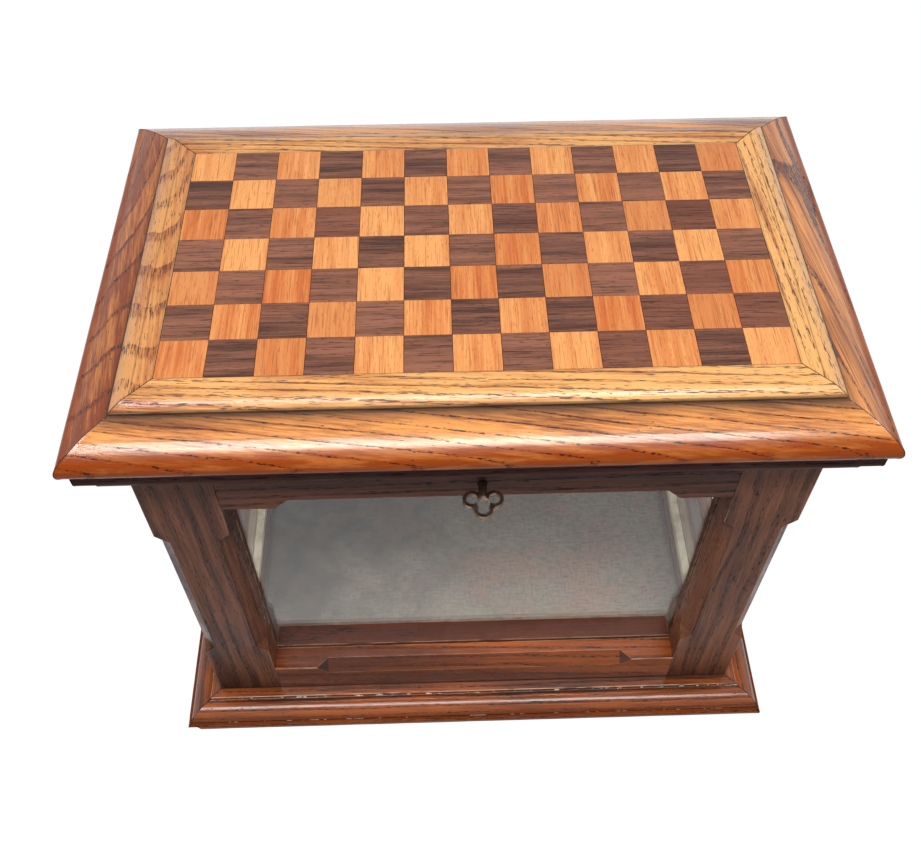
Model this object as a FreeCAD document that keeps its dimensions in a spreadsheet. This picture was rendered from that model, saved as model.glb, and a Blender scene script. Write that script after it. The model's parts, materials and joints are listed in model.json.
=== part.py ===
import FreeCAD, Part
import math
import os
import Sketcher
from FreeCAD import Placement, Rotation, Vector

# Table-top display cabinet: an oak case with glazed sides and a chequered, hinged lid.
# Millimetres. The origin is the centre of the base's underside, +Z is up, the front faces -Y.

doc = FreeCAD.newDocument("display_cabinet")
sheet = doc.addObject("Spreadsheet::Sheet", "Sizes")

# Driving dimensions
SIZES = {
    # chequered field and its raised border
    "square_side": 25.4, "square_columns": 13, "square_rows": 7, "inlay_thick": 4.2, "inlay_gap": 0.2,
    "border_width": 20, "border_flat": 13.2, "border_drop": 2, "border_radius": 25,
    # lid panel, moulded edge and rim
    "lid_thick": 19.8, "panel_margin": 10, "thumb_reach": 23.1, "thumb_drop": 9, "thumb_radius": 50,
    "nose_foot": 24.1, "nose_radius": 7, "rim_thick": 12, "rim_reach": 41.8, "rim_round": 3.5,
    # case, posts and rails
    "case_margin": 22.9, "post_length": 295, "post_width": 44,
    "chamfer": 8, "stop_above": 78.6, "stop_below": 60.5,
    "rail_thick": 26, "upper_rail": 52, "lower_rail": 31, "rail_stop": 30,
    "tenon_length": 14, "tenon_thick": 9, "tenon_inset": 6, "tenon_shoulder": 5,
    # glazing
    "glass_inset": 17, "glass_thick": 3, "rebate": 6, "glass_play": 0.3, "bead_joint": 0.1,
    "sill_depth": 16,
    # cornice, base and floor
    "cornice_reach": 11.7, "cornice_height": 13, "cornice_round": 6,
    "base_height": 17, "base_reach": 24.5, "plinth_height": 4.5, "plinth_round": 1.2,
    "fillet_reach": 7.4, "fillet_drop": 2, "torus_start": 8.4, "torus_reach": 21.8,
    "torus_foot": 6, "torus_radius": 10.5, "groove_inset": 1,
    "floor_thick": 8, "floor_play": 0.3, "lining_thick": 1, "lining_play": 1,
    # lock, bolt and link plate
    "key_drop": 32.7, "key_offset": 2, "lock_half": 26, "lock_below": 9, "lock_depth": 10.2,
    "lock_wall": 1.6, "lock_play": 0.3, "selvedge_half": 33, "selvedge_thick": 2.4,
    "bolt_thick": 2.8, "bolt_inset": 5.3, "bolt_low": 3.6, "bolt_high": 20,
    "talon_left": 9.1, "talon_right": 4.5, "talon_top": 7.6, "guide_length": 4, "guide_height": 2,
    "tongue_gap": 0.7, "tongue_length": 6, "tongue_height": 2.8, "riser_width": 3,
    "link_half": 20, "link_width": 9.8, "link_thick": 2,
    "eye_spread": 9, "eye_thick": 2.5, "eye_drop": 9, "eye_leg": 1.5, "eye_sill": 1.6, "eye_play": 0.8,
    # key
    "shank_radius": 2.4, "keyhole_play": 0.3, "bit_radius": 7, "bit_thick": 2, "bit_width": 4.8,
    "drill_radius": 1.2, "drill_length": 12, "pin_play": 0.05,
    "bow_gap": 10.5, "bow_spread": 6, "bow_front": 6.6, "bow_radius": 5.2, "bow_hole": 3.2,
    "bow_centre": 2.7, "bow_eye": 3.6, "bow_neck": 1.3, "bow_thick": 3,
    "nib_side": 5.2, "nib_front": 5.3, "nib_radius": 1.1,
    # hinges and screws
    "hinge_spread": 120, "hinge_length": 38, "hinge_out": 0.5, "leaf_width": 28, "leaf_thick": 1.6,
    "knuckle_radius": 2.6, "knuckle_middle": 13.6, "knuckle_play": 0.2, "knuckle_room": 0.6,
    "hinge_pin": 1.2, "screw_pitch": 12, "screw_head": 2.4, "head_height": 0.9, "screw_shank": 1.2,
    "screw_length": 9, "screw_play": 0.1, "lock_screw_inset": 3.5, "link_screw_inset": 4,
}
for row, (alias, value) in enumerate(SIZES.items(), start=1):
    sheet.set(f"A{row}", alias)
    sheet.set(f"B{row}", str(value))
    sheet.setAlias(f"B{row}", alias)
doc.recompute()


class Formula:
    """Text of a sheet expression that can be added, scaled and negated like a number."""

    def __init__(self, text):
        self.text = text

    def __str__(self):
        return self.text

    def __add__(self, other):
        return Formula(f"({self} + {other})")

    def __sub__(self, other):
        return Formula(f"({self} - {other})")

    def __mul__(self, other):
        return Formula(f"({self} * {other})")

    def __truediv__(self, other):
        return Formula(f"({self} / {other})")

    def __neg__(self):
        return Formula(f"(-1 * {self})")


class Cells:
    """Gives each cell of the sheet as a formula: s.post_width."""

    def __getattr__(self, alias):
        if alias not in SIZES:
            raise AttributeError(alias)
        return Formula(f"Sizes.{alias}")


s = Cells()


def number(formula):
    return float(sheet.evalExpression(str(formula)))


# Places worked out from the driving dimensions
field_x = s.square_columns * s.square_side / 2
field_y = s.square_rows * s.square_side / 2
case_x = field_x + s.case_margin
case_y = field_y + s.case_margin
case_top = s.base_height + s.post_length
rim_top = case_top + s.rim_thick
step_top = rim_top + s.lid_thick
lid_top = step_top + s.inlay_thick
sight_low = s.base_height + s.lower_rail
sight_high = case_top - s.upper_rail
key_x = s.key_offset
key_z = case_top - s.key_drop
lock_back = s.rail_thick - case_y
lock_face = lock_back - s.lock_depth
bolt_y = lock_back - s.bolt_inset
bow_y = -case_y - s.bow_gap
hinge_y = case_y + s.cornice_reach + s.hinge_out
screw_y = hinge_y - (s.leaf_width + s.knuckle_radius) / 2

# Every side of the cabinet is made as a front piece and turned about +Z
SIDES = ("front", "right", "back", "left")
CORNERS = ("front_left", "front_right", "back_right", "back_left")
ALONG_Y = Rotation(Vector(1, 0, 0), -90)
AGAINST_Y = Rotation(Vector(1, 0, 0), 90)
ALONG_X = Rotation(Vector(0, 1, 0), 90)
SCREW_SIDES = 12
subparts = []


def spans(side):
    """Half length along a side, and distance out to it, at the edge of the chequered field."""
    if side in ("front", "back"):
        return field_x, field_y
    return field_y, field_x


def case_spans(side):
    along, out = spans(side)
    return along + s.case_margin, out + s.case_margin


def new_body(label, quarter_turns=0):
    body = doc.addObject("PartDesign::Body", label)
    body.Label = label
    body.Placement = Placement(Vector(), Rotation(Vector(0, 0, 1), 90 * quarter_turns))
    subparts.append(body)
    return body


def origin(body, role):
    return next(item for item in body.Origin.OriginFeatures if item.Role == role)


def arc_middle(start, end, radius):
    """Middle of the arc from start to end that bulges to the right of the way."""
    chord = end - start
    right = Vector(chord.y, -chord.x, 0).normalize()
    half = chord.Length / 2
    sagitta = radius - math.sqrt(radius * radius - half * half)
    return (start + end) * 0.5 + right * sagitta


def fix(outline, kind, edge, point, formula, value):
    if str(formula) == "0":
        axis = -2 if kind == "DistanceX" else -1
        outline.addConstraint(Sketcher.Constraint("PointOnObject", edge, point, axis))
        return
    mark = outline.addConstraint(Sketcher.Constraint(kind, -1, 1, edge, point, value))
    outline.setExpression(f"Constraints[{mark}]", str(formula))


def add_loop(outline, corners):
    """A closed outline; a corner is (x, y), or (x, y, radius) where an arc leads to the next one."""
    places = [Vector(number(corner[0]), number(corner[1]), 0) for corner in corners]
    ends = []
    for index, corner in enumerate(corners):
        start, end = places[index], places[(index + 1) % len(places)]
        edge_shape = Part.LineSegment(start, end)
        if len(corner) == 3:
            edge_shape = Part.Arc(start, arc_middle(start, end, number(corner[2])), end)
        edge = outline.addGeometry(edge_shape, False)
        forward = (outline.getPoint(edge, 1) - start).Length < 1e-6
        ends.append((edge, 1, 2) if forward else (edge, 2, 1))
    for index, (edge, _, last) in enumerate(ends):
        next_edge, next_first, _ = ends[(index + 1) % len(ends)]
        outline.addConstraint(Sketcher.Constraint("Coincident", edge, last, next_edge, next_first))
    for (edge, first, _), corner, place in zip(ends, corners, places):
        fix(outline, "DistanceX", edge, first, corner[0], place.x)
        fix(outline, "DistanceY", edge, first, corner[1], place.y)
        if len(corner) == 3:
            mark = outline.addConstraint(Sketcher.Constraint("Radius", edge, number(corner[2])))
            outline.setExpression(f"Constraints[{mark}]", str(corner[2]))


def sketch(body, role, loops, shift=None):
    outline = body.newObject("Sketcher::SketchObject", f"{body.Name}_outline")
    outline.AttachmentSupport = [(origin(body, role), "")]
    outline.MapMode = "FlatFace"
    if shift is not None:
        outline.setExpression(".AttachmentOffset.Base.z", str(shift))
    for corners in loops:
        add_loop(outline, corners)
    return outline


def rectangle(x0, y0, x1, y1):
    return [(x0, y0), (x1, y0), (x1, y1), (x0, y1)]


def extrude(body, kind, outline, length, both_ways, reverse):
    feature = body.newObject(f"PartDesign::{kind}", f"{body.Name}_{kind.lower()}")
    feature.Profile = outline
    if length is None:
        feature.Type = "ThroughAll"
    else:
        feature.setExpression("Length", str(length))
    feature.Midplane = both_ways
    feature.Reversed = reverse
    return feature


def pad(body, outline, length, both_ways=False, reverse=False):
    return extrude(body, "Pad", outline, length, both_ways, reverse)


def pocket(body, outline, length=None, both_ways=False, reverse=False):
    return extrude(body, "Pocket", outline, length, both_ways, reverse)


def primitive(body, kind, sizes, place, rotation=Rotation()):
    """A PartDesign primitive whose sizes and place are formulas."""
    feature = body.newObject(f"PartDesign::{kind}", f"{body.Name}_{kind.lower()}")
    feature.AttachmentSupport = [(origin(body, "XY_Plane"), "")]
    feature.MapMode = "FlatFace"
    feature.AttachmentOffset = Placement(Vector(), rotation)
    for name, formula in sizes.items():
        feature.setExpression(name, str(formula))
    for axis, formula in zip("xyz", place):
        feature.setExpression(f".AttachmentOffset.Base.{axis}", str(formula))
    return feature


def cylinder(body, kind, radius, height, place, rotation=Rotation()):
    return primitive(body, f"{kind}Cylinder", {"Radius": radius, "Height": height}, place, rotation)


def prism(body, kind, radius, height, place):
    """The small round of a screw, as a polygon of SCREW_SIDES sides."""
    sizes = {"Circumradius": radius, "Height": height}
    feature = primitive(body, f"{kind}Prism", sizes, place)
    feature.Polygon = SCREW_SIDES
    return feature


def row_of(body, features, spacing, count):
    """Repeats features along X."""
    copies = body.newObject("PartDesign::LinearPattern", f"{body.Name}_row")
    copies.Originals = features
    copies.Direction = (origin(body, "X_Axis"), [""])
    copies.Mode = "Spacing"
    copies.setExpression("Offset", str(spacing))
    copies.setExpression("Occurrences", str(count))
    body.Tip = copies
    return copies


def stop_chamfer(body, place, rotation, low, high):
    """Takes off an arris between flat 45 degree stops that end at low and high along it."""
    sizes = {
        "Xmin": -s.chamfer, "Xmax": s.chamfer, "X2min": -s.chamfer, "X2max": s.chamfer,
        "Ymax": s.chamfer * "sqrt(2)",
        "Zmin": low + s.chamfer, "Zmax": high - s.chamfer,
        "Z2min": low - s.chamfer, "Z2max": high + s.chamfer,
    }
    wedge = primitive(body, "SubtractiveWedge", sizes, place, rotation)
    wedge.Ymin = 0
    return wedge


def mitred_run(label, side, corners, inner, outer):
    """One side's run of moulding; corners are (offset from the field's edge, height[, radius])."""
    along, out = spans(side)
    body = new_body(label, SIDES.index(side))
    profile = [(-out - corner[0], *corner[1:]) for corner in corners]
    pad(body, sketch(body, "YZ_Plane", [profile]), (along + outer) * 2, both_ways=True)
    ends = []
    for hand in (1, -1):
        ends.append([
            ((along + inner) * hand, -out - inner),
            ((along + outer) * hand, -out - outer),
            ((along + outer) * hand, -out - inner),
        ])
    pocket(body, sketch(body, "XY_Plane", ends), both_ways=True)
    return body


def base_run(side):
    margin = s.case_margin
    inner = margin - s.post_width
    ledge = s.base_height - s.fillet_drop
    corners = [
        (inner, 0), (inner, s.base_height),
        (margin + s.fillet_reach, s.base_height), (margin + s.fillet_reach, ledge),
        (margin + s.torus_start, ledge, s.torus_radius),
        (margin + s.torus_reach, s.torus_foot),
        (margin + s.torus_reach - s.groove_inset, s.plinth_height),
        (margin + s.base_reach - s.plinth_round, s.plinth_height, s.plinth_round),
        (margin + s.base_reach, s.plinth_height - s.plinth_round), (margin + s.base_reach, 0),
    ]
    mitred_run(f"base_{side}", side, corners, inner, margin + s.base_reach)


def cornice_run(side):
    margin = s.case_margin
    reach = margin + s.cornice_reach
    low = case_top - s.cornice_height
    corners = [
        (margin, low), (margin, case_top), (reach, case_top),
        (reach, low + s.cornice_round, s.cornice_round), (reach - s.cornice_round, low),
    ]
    body = mitred_run(f"cornice_{side}", side, corners, margin, reach)
    if side == "back":
        sink_leaves(body, up=False)
        sink_knuckles(body, up=False)


def rim_run(side):
    inner = s.case_margin - s.rail_thick
    corners = [
        (inner, case_top), (inner, rim_top), (s.rim_reach, rim_top),
        (s.rim_reach, case_top + s.rim_round, s.rim_round), (s.rim_reach - s.rim_round, case_top),
    ]
    body = mitred_run(f"lid_rim_{side}", side, corners, inner, s.rim_reach)
    if side == "back":
        sink_leaves(body, up=True)
        sink_knuckles(body, up=True)
        drill_hinge_pilots(body, up=True)
    if side == "front":
        outline = rectangle(key_x - s.link_half, bolt_y - s.link_width / 2,
                            key_x + s.link_half, bolt_y + s.link_width / 2)
        pocket(body, sketch(body, "XY_Plane", [outline], case_top), s.link_thick, reverse=True)
        drill_pilots(body, key_x - link_screw_x(), link_screw_x() * 2, 2, bolt_y, up=True)


def lid_moulding_run(side):
    corners = [
        (s.panel_margin, rim_top), (s.panel_margin, step_top),
        (s.border_width, step_top, s.thumb_radius),
        (s.border_width + s.thumb_reach, step_top - s.thumb_drop, s.nose_radius),
        (s.border_width + s.nose_foot, rim_top),
    ]
    outer = s.border_width + s.nose_foot + s.nose_radius
    mitred_run(f"lid_moulding_{side}", side, corners, s.panel_margin, outer)


def lid_border_run(side):
    corners = [
        (0, step_top), (0, lid_top), (s.border_flat, lid_top, s.border_radius),
        (s.border_width, lid_top - s.border_drop), (s.border_width, step_top),
    ]
    mitred_run(f"lid_border_{side}", side, corners, 0, s.border_width)


def corner_post(corner):
    """A square post, rebated for two panes, mortised for the rails and stop chamfered."""
    body = new_body(f"post_{corner}", CORNERS.index(corner))
    x = -case_x if corner.endswith("left") else case_x
    y = -case_y if corner.startswith("front") else case_y
    for axis, formula in zip("xyz", (x, y, s.base_height)):
        body.setExpression(f".Placement.Base.{axis}", str(formula))
    width = s.post_width
    seat = width - s.rebate
    section = [
        (0, 0), (width, 0), (width, s.glass_inset), (seat, s.glass_inset), (seat, seat),
        (s.glass_inset, seat), (s.glass_inset, width), (0, width),
    ]
    pad(body, sketch(body, "XY_Plane", [section]), s.post_length)
    mouth = width - s.tenon_length
    mortises = [
        rectangle(mouth, s.tenon_shoulder, width, s.lower_rail - s.tenon_shoulder),
        rectangle(mouth, s.post_length - s.upper_rail + s.tenon_shoulder,
                  width, s.post_length - s.tenon_shoulder),
    ]
    pocket(body, sketch(body, "XZ_Plane", mortises, -s.tenon_inset), s.tenon_thick)
    pocket(body, sketch(body, "YZ_Plane", mortises, s.tenon_inset), s.tenon_thick, reverse=True)
    low = s.stop_below
    high = s.post_length - s.stop_above
    half = s.chamfer / 2
    arrises = [((half, half), 135), ((width - half, half), 225), ((half, width - half), 45)]
    for (across, deep), angle in arrises:
        stop_chamfer(body, (across, deep, 0), Rotation(Vector(0, 0, 1), angle), low, high)


def rail(side, upper):
    """A rail with tenons, a rebate for the glass and a stop chamfer along its glazed front edge."""
    along, out = case_spans(side)
    half = along - s.post_width
    face = -out
    seat = face + s.glass_inset
    inside = face + s.rail_thick
    low = sight_high if upper else s.base_height
    high = case_top if upper else sight_low
    body = new_body(f"{'top' if upper else 'bottom'}_rail_{side}", SIDES.index(side))
    if upper:
        shoulder = low + s.rebate
        back = rectangle(seat, shoulder, inside, high)
        step = [(seat, low), (seat, shoulder), (inside, shoulder), (inside, high)]
        rotation = Rotation(Vector(0, -1, 1), Vector(0, -1, -1), Vector(1, 0, 0), "ZYX")
        middle = low + s.chamfer / 2
    else:
        shoulder = high - s.rebate
        back = rectangle(seat, low, inside, shoulder)
        step = [(inside, low), (inside, shoulder), (seat, shoulder), (seat, high)]
        rotation = Rotation(Vector(0, 1, 1), Vector(0, -1, 1), Vector(1, 0, 0), "ZYX")
        middle = high - s.chamfer / 2
    section = [(face, low), *step, (face, high)]
    pad(body, sketch(body, "YZ_Plane", [section]), half * 2, both_ways=True)
    pad(body, sketch(body, "YZ_Plane", [back]), (half + s.rebate) * 2, both_ways=True)
    tenon = rectangle(face + s.tenon_inset, low + s.tenon_shoulder,
                      face + s.tenon_inset + s.tenon_thick, high - s.tenon_shoulder)
    pad(body, sketch(body, "YZ_Plane", [tenon]), (half + s.tenon_length) * 2, both_ways=True)
    reach = half - s.rail_stop
    stop_chamfer(body, (0, face + s.chamfer / 2, middle), rotation, -reach, reach)
    return body


def lock_outline():
    """The lock's body below its wider top plate, in X and Z."""
    shelf = case_top - s.selvedge_thick
    low = key_z - s.lock_below
    return [
        (key_x - s.lock_half, low), (key_x + s.lock_half, low), (key_x + s.lock_half, shelf),
        (key_x + s.selvedge_half, shelf), (key_x + s.selvedge_half, case_top),
        (key_x - s.selvedge_half, case_top), (key_x - s.selvedge_half, shelf),
        (key_x - s.lock_half, shelf),
    ]


def lock_screw_x():
    return s.selvedge_half - s.lock_screw_inset


def link_screw_x():
    return s.link_half - s.link_screw_inset


def let_in_lock(body):
    """The lock's mortise and the keyhole in the upper front rail."""
    pocket(body, sketch(body, "XZ_Plane", [lock_outline()], -lock_back), s.lock_depth, reverse=True)
    depth = s.rail_thick - s.lock_depth
    hole = s.shank_radius + s.keyhole_play
    cylinder(body, "Subtractive", hole, depth, (key_x, -case_y, key_z), ALONG_Y)
    half = s.bit_thick / 2 + s.keyhole_play
    slot = rectangle(key_x - half, key_z - s.bit_radius - s.keyhole_play, key_x + half, key_z)
    pocket(body, sketch(body, "XZ_Plane", [slot], case_y), depth)
    drill_pilots(body, key_x - lock_screw_x(), lock_screw_x() * 2, 2, bolt_y, up=False)


def hinge_centres():
    return (-s.hinge_spread, s.hinge_spread)


def sink_leaves(body, up):
    """Recesses for the hinge leaves in a back piece, which is made facing the front."""
    half = s.hinge_length / 2
    recesses = []
    for centre in hinge_centres():
        recesses.append(rectangle(centre - half, -hinge_y, centre + half, s.leaf_width - hinge_y))
    pocket(body, sketch(body, "XY_Plane", recesses, case_top), s.leaf_thick, reverse=up)


def sink_knuckles(body, up):
    half = s.hinge_length / 2 + s.knuckle_room
    room = s.knuckle_radius + s.knuckle_room
    behind = -field_y - s.rim_reach - s.knuckle_radius
    notches = []
    for centre in hinge_centres():
        notches.append(rectangle(centre - half, behind, centre + half, room - hinge_y))
    pocket(body, sketch(body, "XY_Plane", notches, case_top), room, reverse=up)


def drill_pilots(body, first_x, spacing, count, y, up):
    """Holes for a row of screw shanks, down from the top of the case or up into the lid."""
    radius = s.screw_shank + s.screw_play / 2
    low = case_top if up else case_top - s.screw_length
    hole = prism(body, "Subtractive", radius, s.screw_length, (first_x, y, low))
    row_of(body, [hole], spacing, count)


def drill_hinge_pilots(body, up):
    for centre in hinge_centres():
        drill_pilots(body, centre - s.screw_pitch, s.screw_pitch, 3, -screw_y, up)


def sink_heads(body, first_x, spacing, count, y, thick, up):
    """A row of stepped screw holes through a plate that lies against the top of the case."""
    seat_low = case_top if up else case_top - s.head_height
    seat = prism(body, "Subtractive", s.screw_head + s.screw_play, s.head_height, (first_x, y, seat_low))
    hole_low = case_top if up else case_top - thick
    hole = prism(body, "Subtractive", s.screw_shank + s.screw_play, thick, (first_x, y, hole_low))
    row_of(body, [seat, hole], spacing, count)


def add_screws(body, first_x, spacing, count, y, up):
    """A row of screws, heads flush with the top of the case or the lid's underside."""
    head_low = case_top if up else case_top - s.head_height
    head = prism(body, "Additive", s.screw_head, s.head_height, (first_x, y, head_low))
    shank_low = case_top if up else case_top - s.screw_length
    shank = prism(body, "Additive", s.screw_shank, s.screw_length, (first_x, y, shank_low))
    row_of(body, [head, shank], spacing, count)


def hinge_leaf(label, centre, up):
    """One leaf of a butt hinge; the case leaf has the outer knuckles, the lid leaf the middle one."""
    body = new_body(label)
    half = s.hinge_length / 2
    plate = rectangle(centre - half, hinge_y - s.leaf_width, centre + half, hinge_y)
    pad(body, sketch(body, "XY_Plane", [plate], case_top), s.leaf_thick, reverse=not up)
    axis_start = (centre - half, hinge_y, case_top)
    cylinder(body, "Additive", s.knuckle_radius, s.hinge_length, axis_start, ALONG_X)
    front = hinge_y - s.knuckle_radius - s.knuckle_play
    behind = hinge_y + s.knuckle_radius * 2
    middle = s.knuckle_middle / 2
    if up:
        gaps = [
            rectangle(centre - half - s.knuckle_play, front, centre - middle, behind),
            rectangle(centre + middle, front, centre + half + s.knuckle_play, behind),
        ]
    else:
        clear = middle + s.knuckle_play
        gaps = [rectangle(centre - clear, front, centre + clear, behind)]
    pocket(body, sketch(body, "XY_Plane", gaps, case_top), both_ways=True)
    bore = s.hinge_pin + s.pin_play
    cylinder(body, "Subtractive", bore, s.hinge_length, axis_start, ALONG_X)
    sink_heads(body, centre - s.screw_pitch, s.screw_pitch, 3, screw_y, s.leaf_thick, up)


def hinges():
    for hand, centre in zip(("left", "right"), hinge_centres()):
        hinge_leaf(f"case_hinge_leaf_{hand}", centre, up=False)
        hinge_leaf(f"lid_hinge_leaf_{hand}", centre, up=True)
        pin = new_body(f"hinge_pin_{hand}")
        start = (centre - s.hinge_length / 2, hinge_y, case_top)
        cylinder(pin, "Additive", s.hinge_pin, s.hinge_length, start, ALONG_X)
    for label, up in (("case_hinge_screws", False), ("lid_hinge_screws", True)):
        body = new_body(label)
        for centre in hinge_centres():
            add_screws(body, centre - s.screw_pitch, s.screw_pitch, 3, screw_y, up)


def tongue_tips():
    """Free ends of the bolt's two tongues, just left of the eyes that they enter."""
    return (key_x - s.eye_spread - s.tongue_gap, key_x + s.eye_spread - s.tongue_gap)


def lock():
    body = new_body("lock_case")
    pad(body, sketch(body, "XZ_Plane", [lock_outline()], -lock_back), s.lock_depth)
    wide = s.lock_half - s.lock_wall
    hollow = rectangle(key_x - wide, key_z - s.lock_below + s.lock_wall,
                       key_x + wide, case_top - s.selvedge_thick)
    pocket(body, sketch(body, "XZ_Plane", [hollow], -lock_face), s.lock_depth - s.lock_wall)
    slot_half = s.bolt_thick / 2 + s.eye_play + s.eye_leg + s.lock_play
    slots = []
    for side in (-1, 1):
        left = key_x + s.eye_spread * side
        slots.append(rectangle(left - s.lock_play, bolt_y - slot_half,
                               left + s.eye_thick + s.lock_play, bolt_y + slot_half))
    pocket(body, sketch(body, "XY_Plane", slots, case_top), s.selvedge_thick)
    floor = lock_back - s.lock_wall
    cylinder(body, "Additive", s.drill_radius, s.drill_length, (key_x, floor, key_z), AGAINST_Y)
    left_tip, right_tip = tongue_tips()
    heel = left_tip - s.tongue_length - s.riser_width
    top = key_z + s.bolt_low - s.lock_play
    guides = []
    for start in (heel + s.guide_length / 2, right_tip - s.guide_length):
        guides.append(rectangle(start, top - s.guide_height, start + s.guide_length, top))
    reach = s.bolt_inset + s.bolt_thick / 2 - s.lock_wall
    pad(body, sketch(body, "XZ_Plane", guides, -floor), reach)
    sink_heads(body, key_x - lock_screw_x(), lock_screw_x() * 2, 2, bolt_y, s.selvedge_thick, up=False)
    screws = new_body("lock_screws")
    add_screws(screws, key_x - lock_screw_x(), lock_screw_x() * 2, 2, bolt_y, up=False)


def lock_bolt():
    """A flat bolt with a talon for the key's bit and two hooked tongues."""
    body = new_body("lock_bolt")
    left_tip, right_tip = tongue_tips()
    left_root = left_tip - s.tongue_length
    right_root = right_tip - s.tongue_length
    low = key_z + s.bolt_low
    high = key_z + s.bolt_high
    talon = key_z + s.talon_top
    under = case_top - s.eye_drop + s.eye_sill + s.eye_play
    over = under + s.tongue_height
    outline = [
        (left_root - s.riser_width, low), (key_x - s.talon_left, low), (key_x - s.talon_left, talon),
        (key_x - s.talon_right, talon), (key_x - s.talon_right, low), (right_tip, low), (right_tip, high),
        (right_root, high), (right_root, under), (right_tip, under), (right_tip, over),
        (right_root - s.riser_width, over), (right_root - s.riser_width, high),
        (left_root, high), (left_root, under), (left_tip, under), (left_tip, over),
        (left_root - s.riser_width, over),
    ]
    pad(body, sketch(body, "XZ_Plane", [outline], -bolt_y), s.bolt_thick, both_ways=True)


def link_plate():
    """The plate under the lid, with two eyes that drop into the lock."""
    body = new_body("link_plate")
    plate = rectangle(key_x - s.link_half, bolt_y - s.link_width / 2,
                      key_x + s.link_half, bolt_y + s.link_width / 2)
    pad(body, sketch(body, "XY_Plane", [plate], case_top), s.link_thick)
    inner = s.bolt_thick / 2 + s.eye_play
    outer = inner + s.eye_leg
    foot = case_top - s.eye_drop
    sill = foot + s.eye_sill
    head = sill + s.tongue_height + s.eye_play * 2
    eye = [
        rectangle(bolt_y - outer, foot, bolt_y + outer, case_top),
        rectangle(bolt_y - inner, sill, bolt_y + inner, head),
    ]
    first = pad(body, sketch(body, "YZ_Plane", eye, key_x - s.eye_spread), s.eye_thick)
    row_of(body, [first], s.eye_spread * 2, 2)
    sink_heads(body, key_x - link_screw_x(), link_screw_x() * 2, 2, bolt_y, s.link_thick, up=True)
    screws = new_body("link_plate_screws")
    add_screws(screws, key_x - link_screw_x(), link_screw_x() * 2, 2, bolt_y, up=True)


def key():
    """A pipe key with a trefoil bow, lying flat, its bit to the left."""
    body = new_body("key")
    end = lock_back - s.lock_wall - s.lock_play
    start = bow_y + s.bow_neck
    cylinder(body, "Additive", s.shank_radius, end - start, (key_x, start, key_z), ALONG_Y)
    low = key_z - s.bow_thick / 2
    lobes = [(key_x - s.bow_spread, bow_y), (key_x + s.bow_spread, bow_y), (key_x, bow_y - s.bow_front)]
    for x, y in lobes:
        cylinder(body, "Additive", s.bow_radius, s.bow_thick, (x, y, low))
    for side in (-1, 1):
        nib = (key_x + s.nib_side * side, bow_y - s.nib_front, low)
        cylinder(body, "Additive", s.nib_radius, s.bow_thick, nib)
    for x, y in lobes:
        cylinder(body, "Subtractive", s.bow_hole, s.bow_thick, (x, y, low))
    cylinder(body, "Subtractive", s.bow_eye, s.bow_thick, (key_x, bow_y - s.bow_centre, low))
    bit = {"Length": s.bit_radius, "Width": s.bit_width, "Height": s.bit_thick}
    primitive(body, "AdditiveBox", bit,
              (key_x - s.bit_radius, bolt_y - s.bit_width / 2, key_z - s.bit_thick / 2))
    bore = s.drill_radius + s.pin_play
    cylinder(body, "Subtractive", bore, s.drill_length + s.lock_play, (key_x, end, key_z), AGAINST_Y)


def pane(side):
    along, out = case_spans(side)
    half = along - s.post_width + s.rebate - s.glass_play
    low = sight_low - s.rebate + s.glass_play
    high = sight_high + s.rebate - s.glass_play
    body = new_body(f"glass_{side}", SIDES.index(side))
    outline = rectangle(-half, low, half, high)
    pad(body, sketch(body, "XZ_Plane", [outline], out - s.glass_inset), s.glass_thick, reverse=True)


def glazing_beads(side):
    """Four strips that hold a pane in its rebates, from the inside; the lowest front one is a sill."""
    along, out = case_spans(side)
    half = along - s.post_width
    wide = half + s.rebate
    short = half - s.bead_joint
    low = sight_low - s.rebate
    high = sight_high + s.rebate
    lowest = rectangle(-short, low, short, sight_low)
    strips = [
        rectangle(-wide, low, -half, high), rectangle(half, low, wide, high),
        lowest, rectangle(-short, sight_high, short, high),
    ]
    body = new_body(f"glass_beads_{side}", SIDES.index(side))
    inset = s.glass_inset + s.glass_thick
    pad(body, sketch(body, "XZ_Plane", strips, out - inset), s.rail_thick - inset, reverse=True)
    if side == "front":
        pad(body, sketch(body, "XZ_Plane", [lowest], out - inset), s.sill_depth, reverse=True)


def floor_outline(play):
    """A rectangle inside the lower rails, notched round the posts."""
    wide_x = case_x - s.rail_thick - play
    wide_y = case_y - s.rail_thick - play
    short_x = case_x - s.post_width + s.rebate - play
    short_y = case_y - s.post_width + s.rebate - play
    corner = [(wide_x, short_y), (short_x, short_y), (short_x, wide_y)]
    outline = []
    for x_sign, y_sign in ((1, 1), (-1, 1), (-1, -1), (1, -1)):
        points = [(x * x_sign, y * y_sign) for x, y in corner]
        outline += points if x_sign == y_sign else points[::-1]
    return outline


def floor():
    board = new_body("floor_board")
    pad(board, sketch(board, "XY_Plane", [floor_outline(s.floor_play)], s.base_height), s.floor_thick)
    lining = new_body("floor_lining")
    low = s.base_height + s.floor_thick
    pad(lining, sketch(lining, "XY_Plane", [floor_outline(s.lining_play)], low), s.lining_thick)


def lid_panel():
    body = new_body("lid_panel")
    half_x = field_x + s.panel_margin
    half_y = field_y + s.panel_margin
    outline = rectangle(-half_x, -half_y, half_x, half_y)
    pad(body, sketch(body, "XY_Plane", [outline], rim_top), s.lid_thick)


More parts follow.
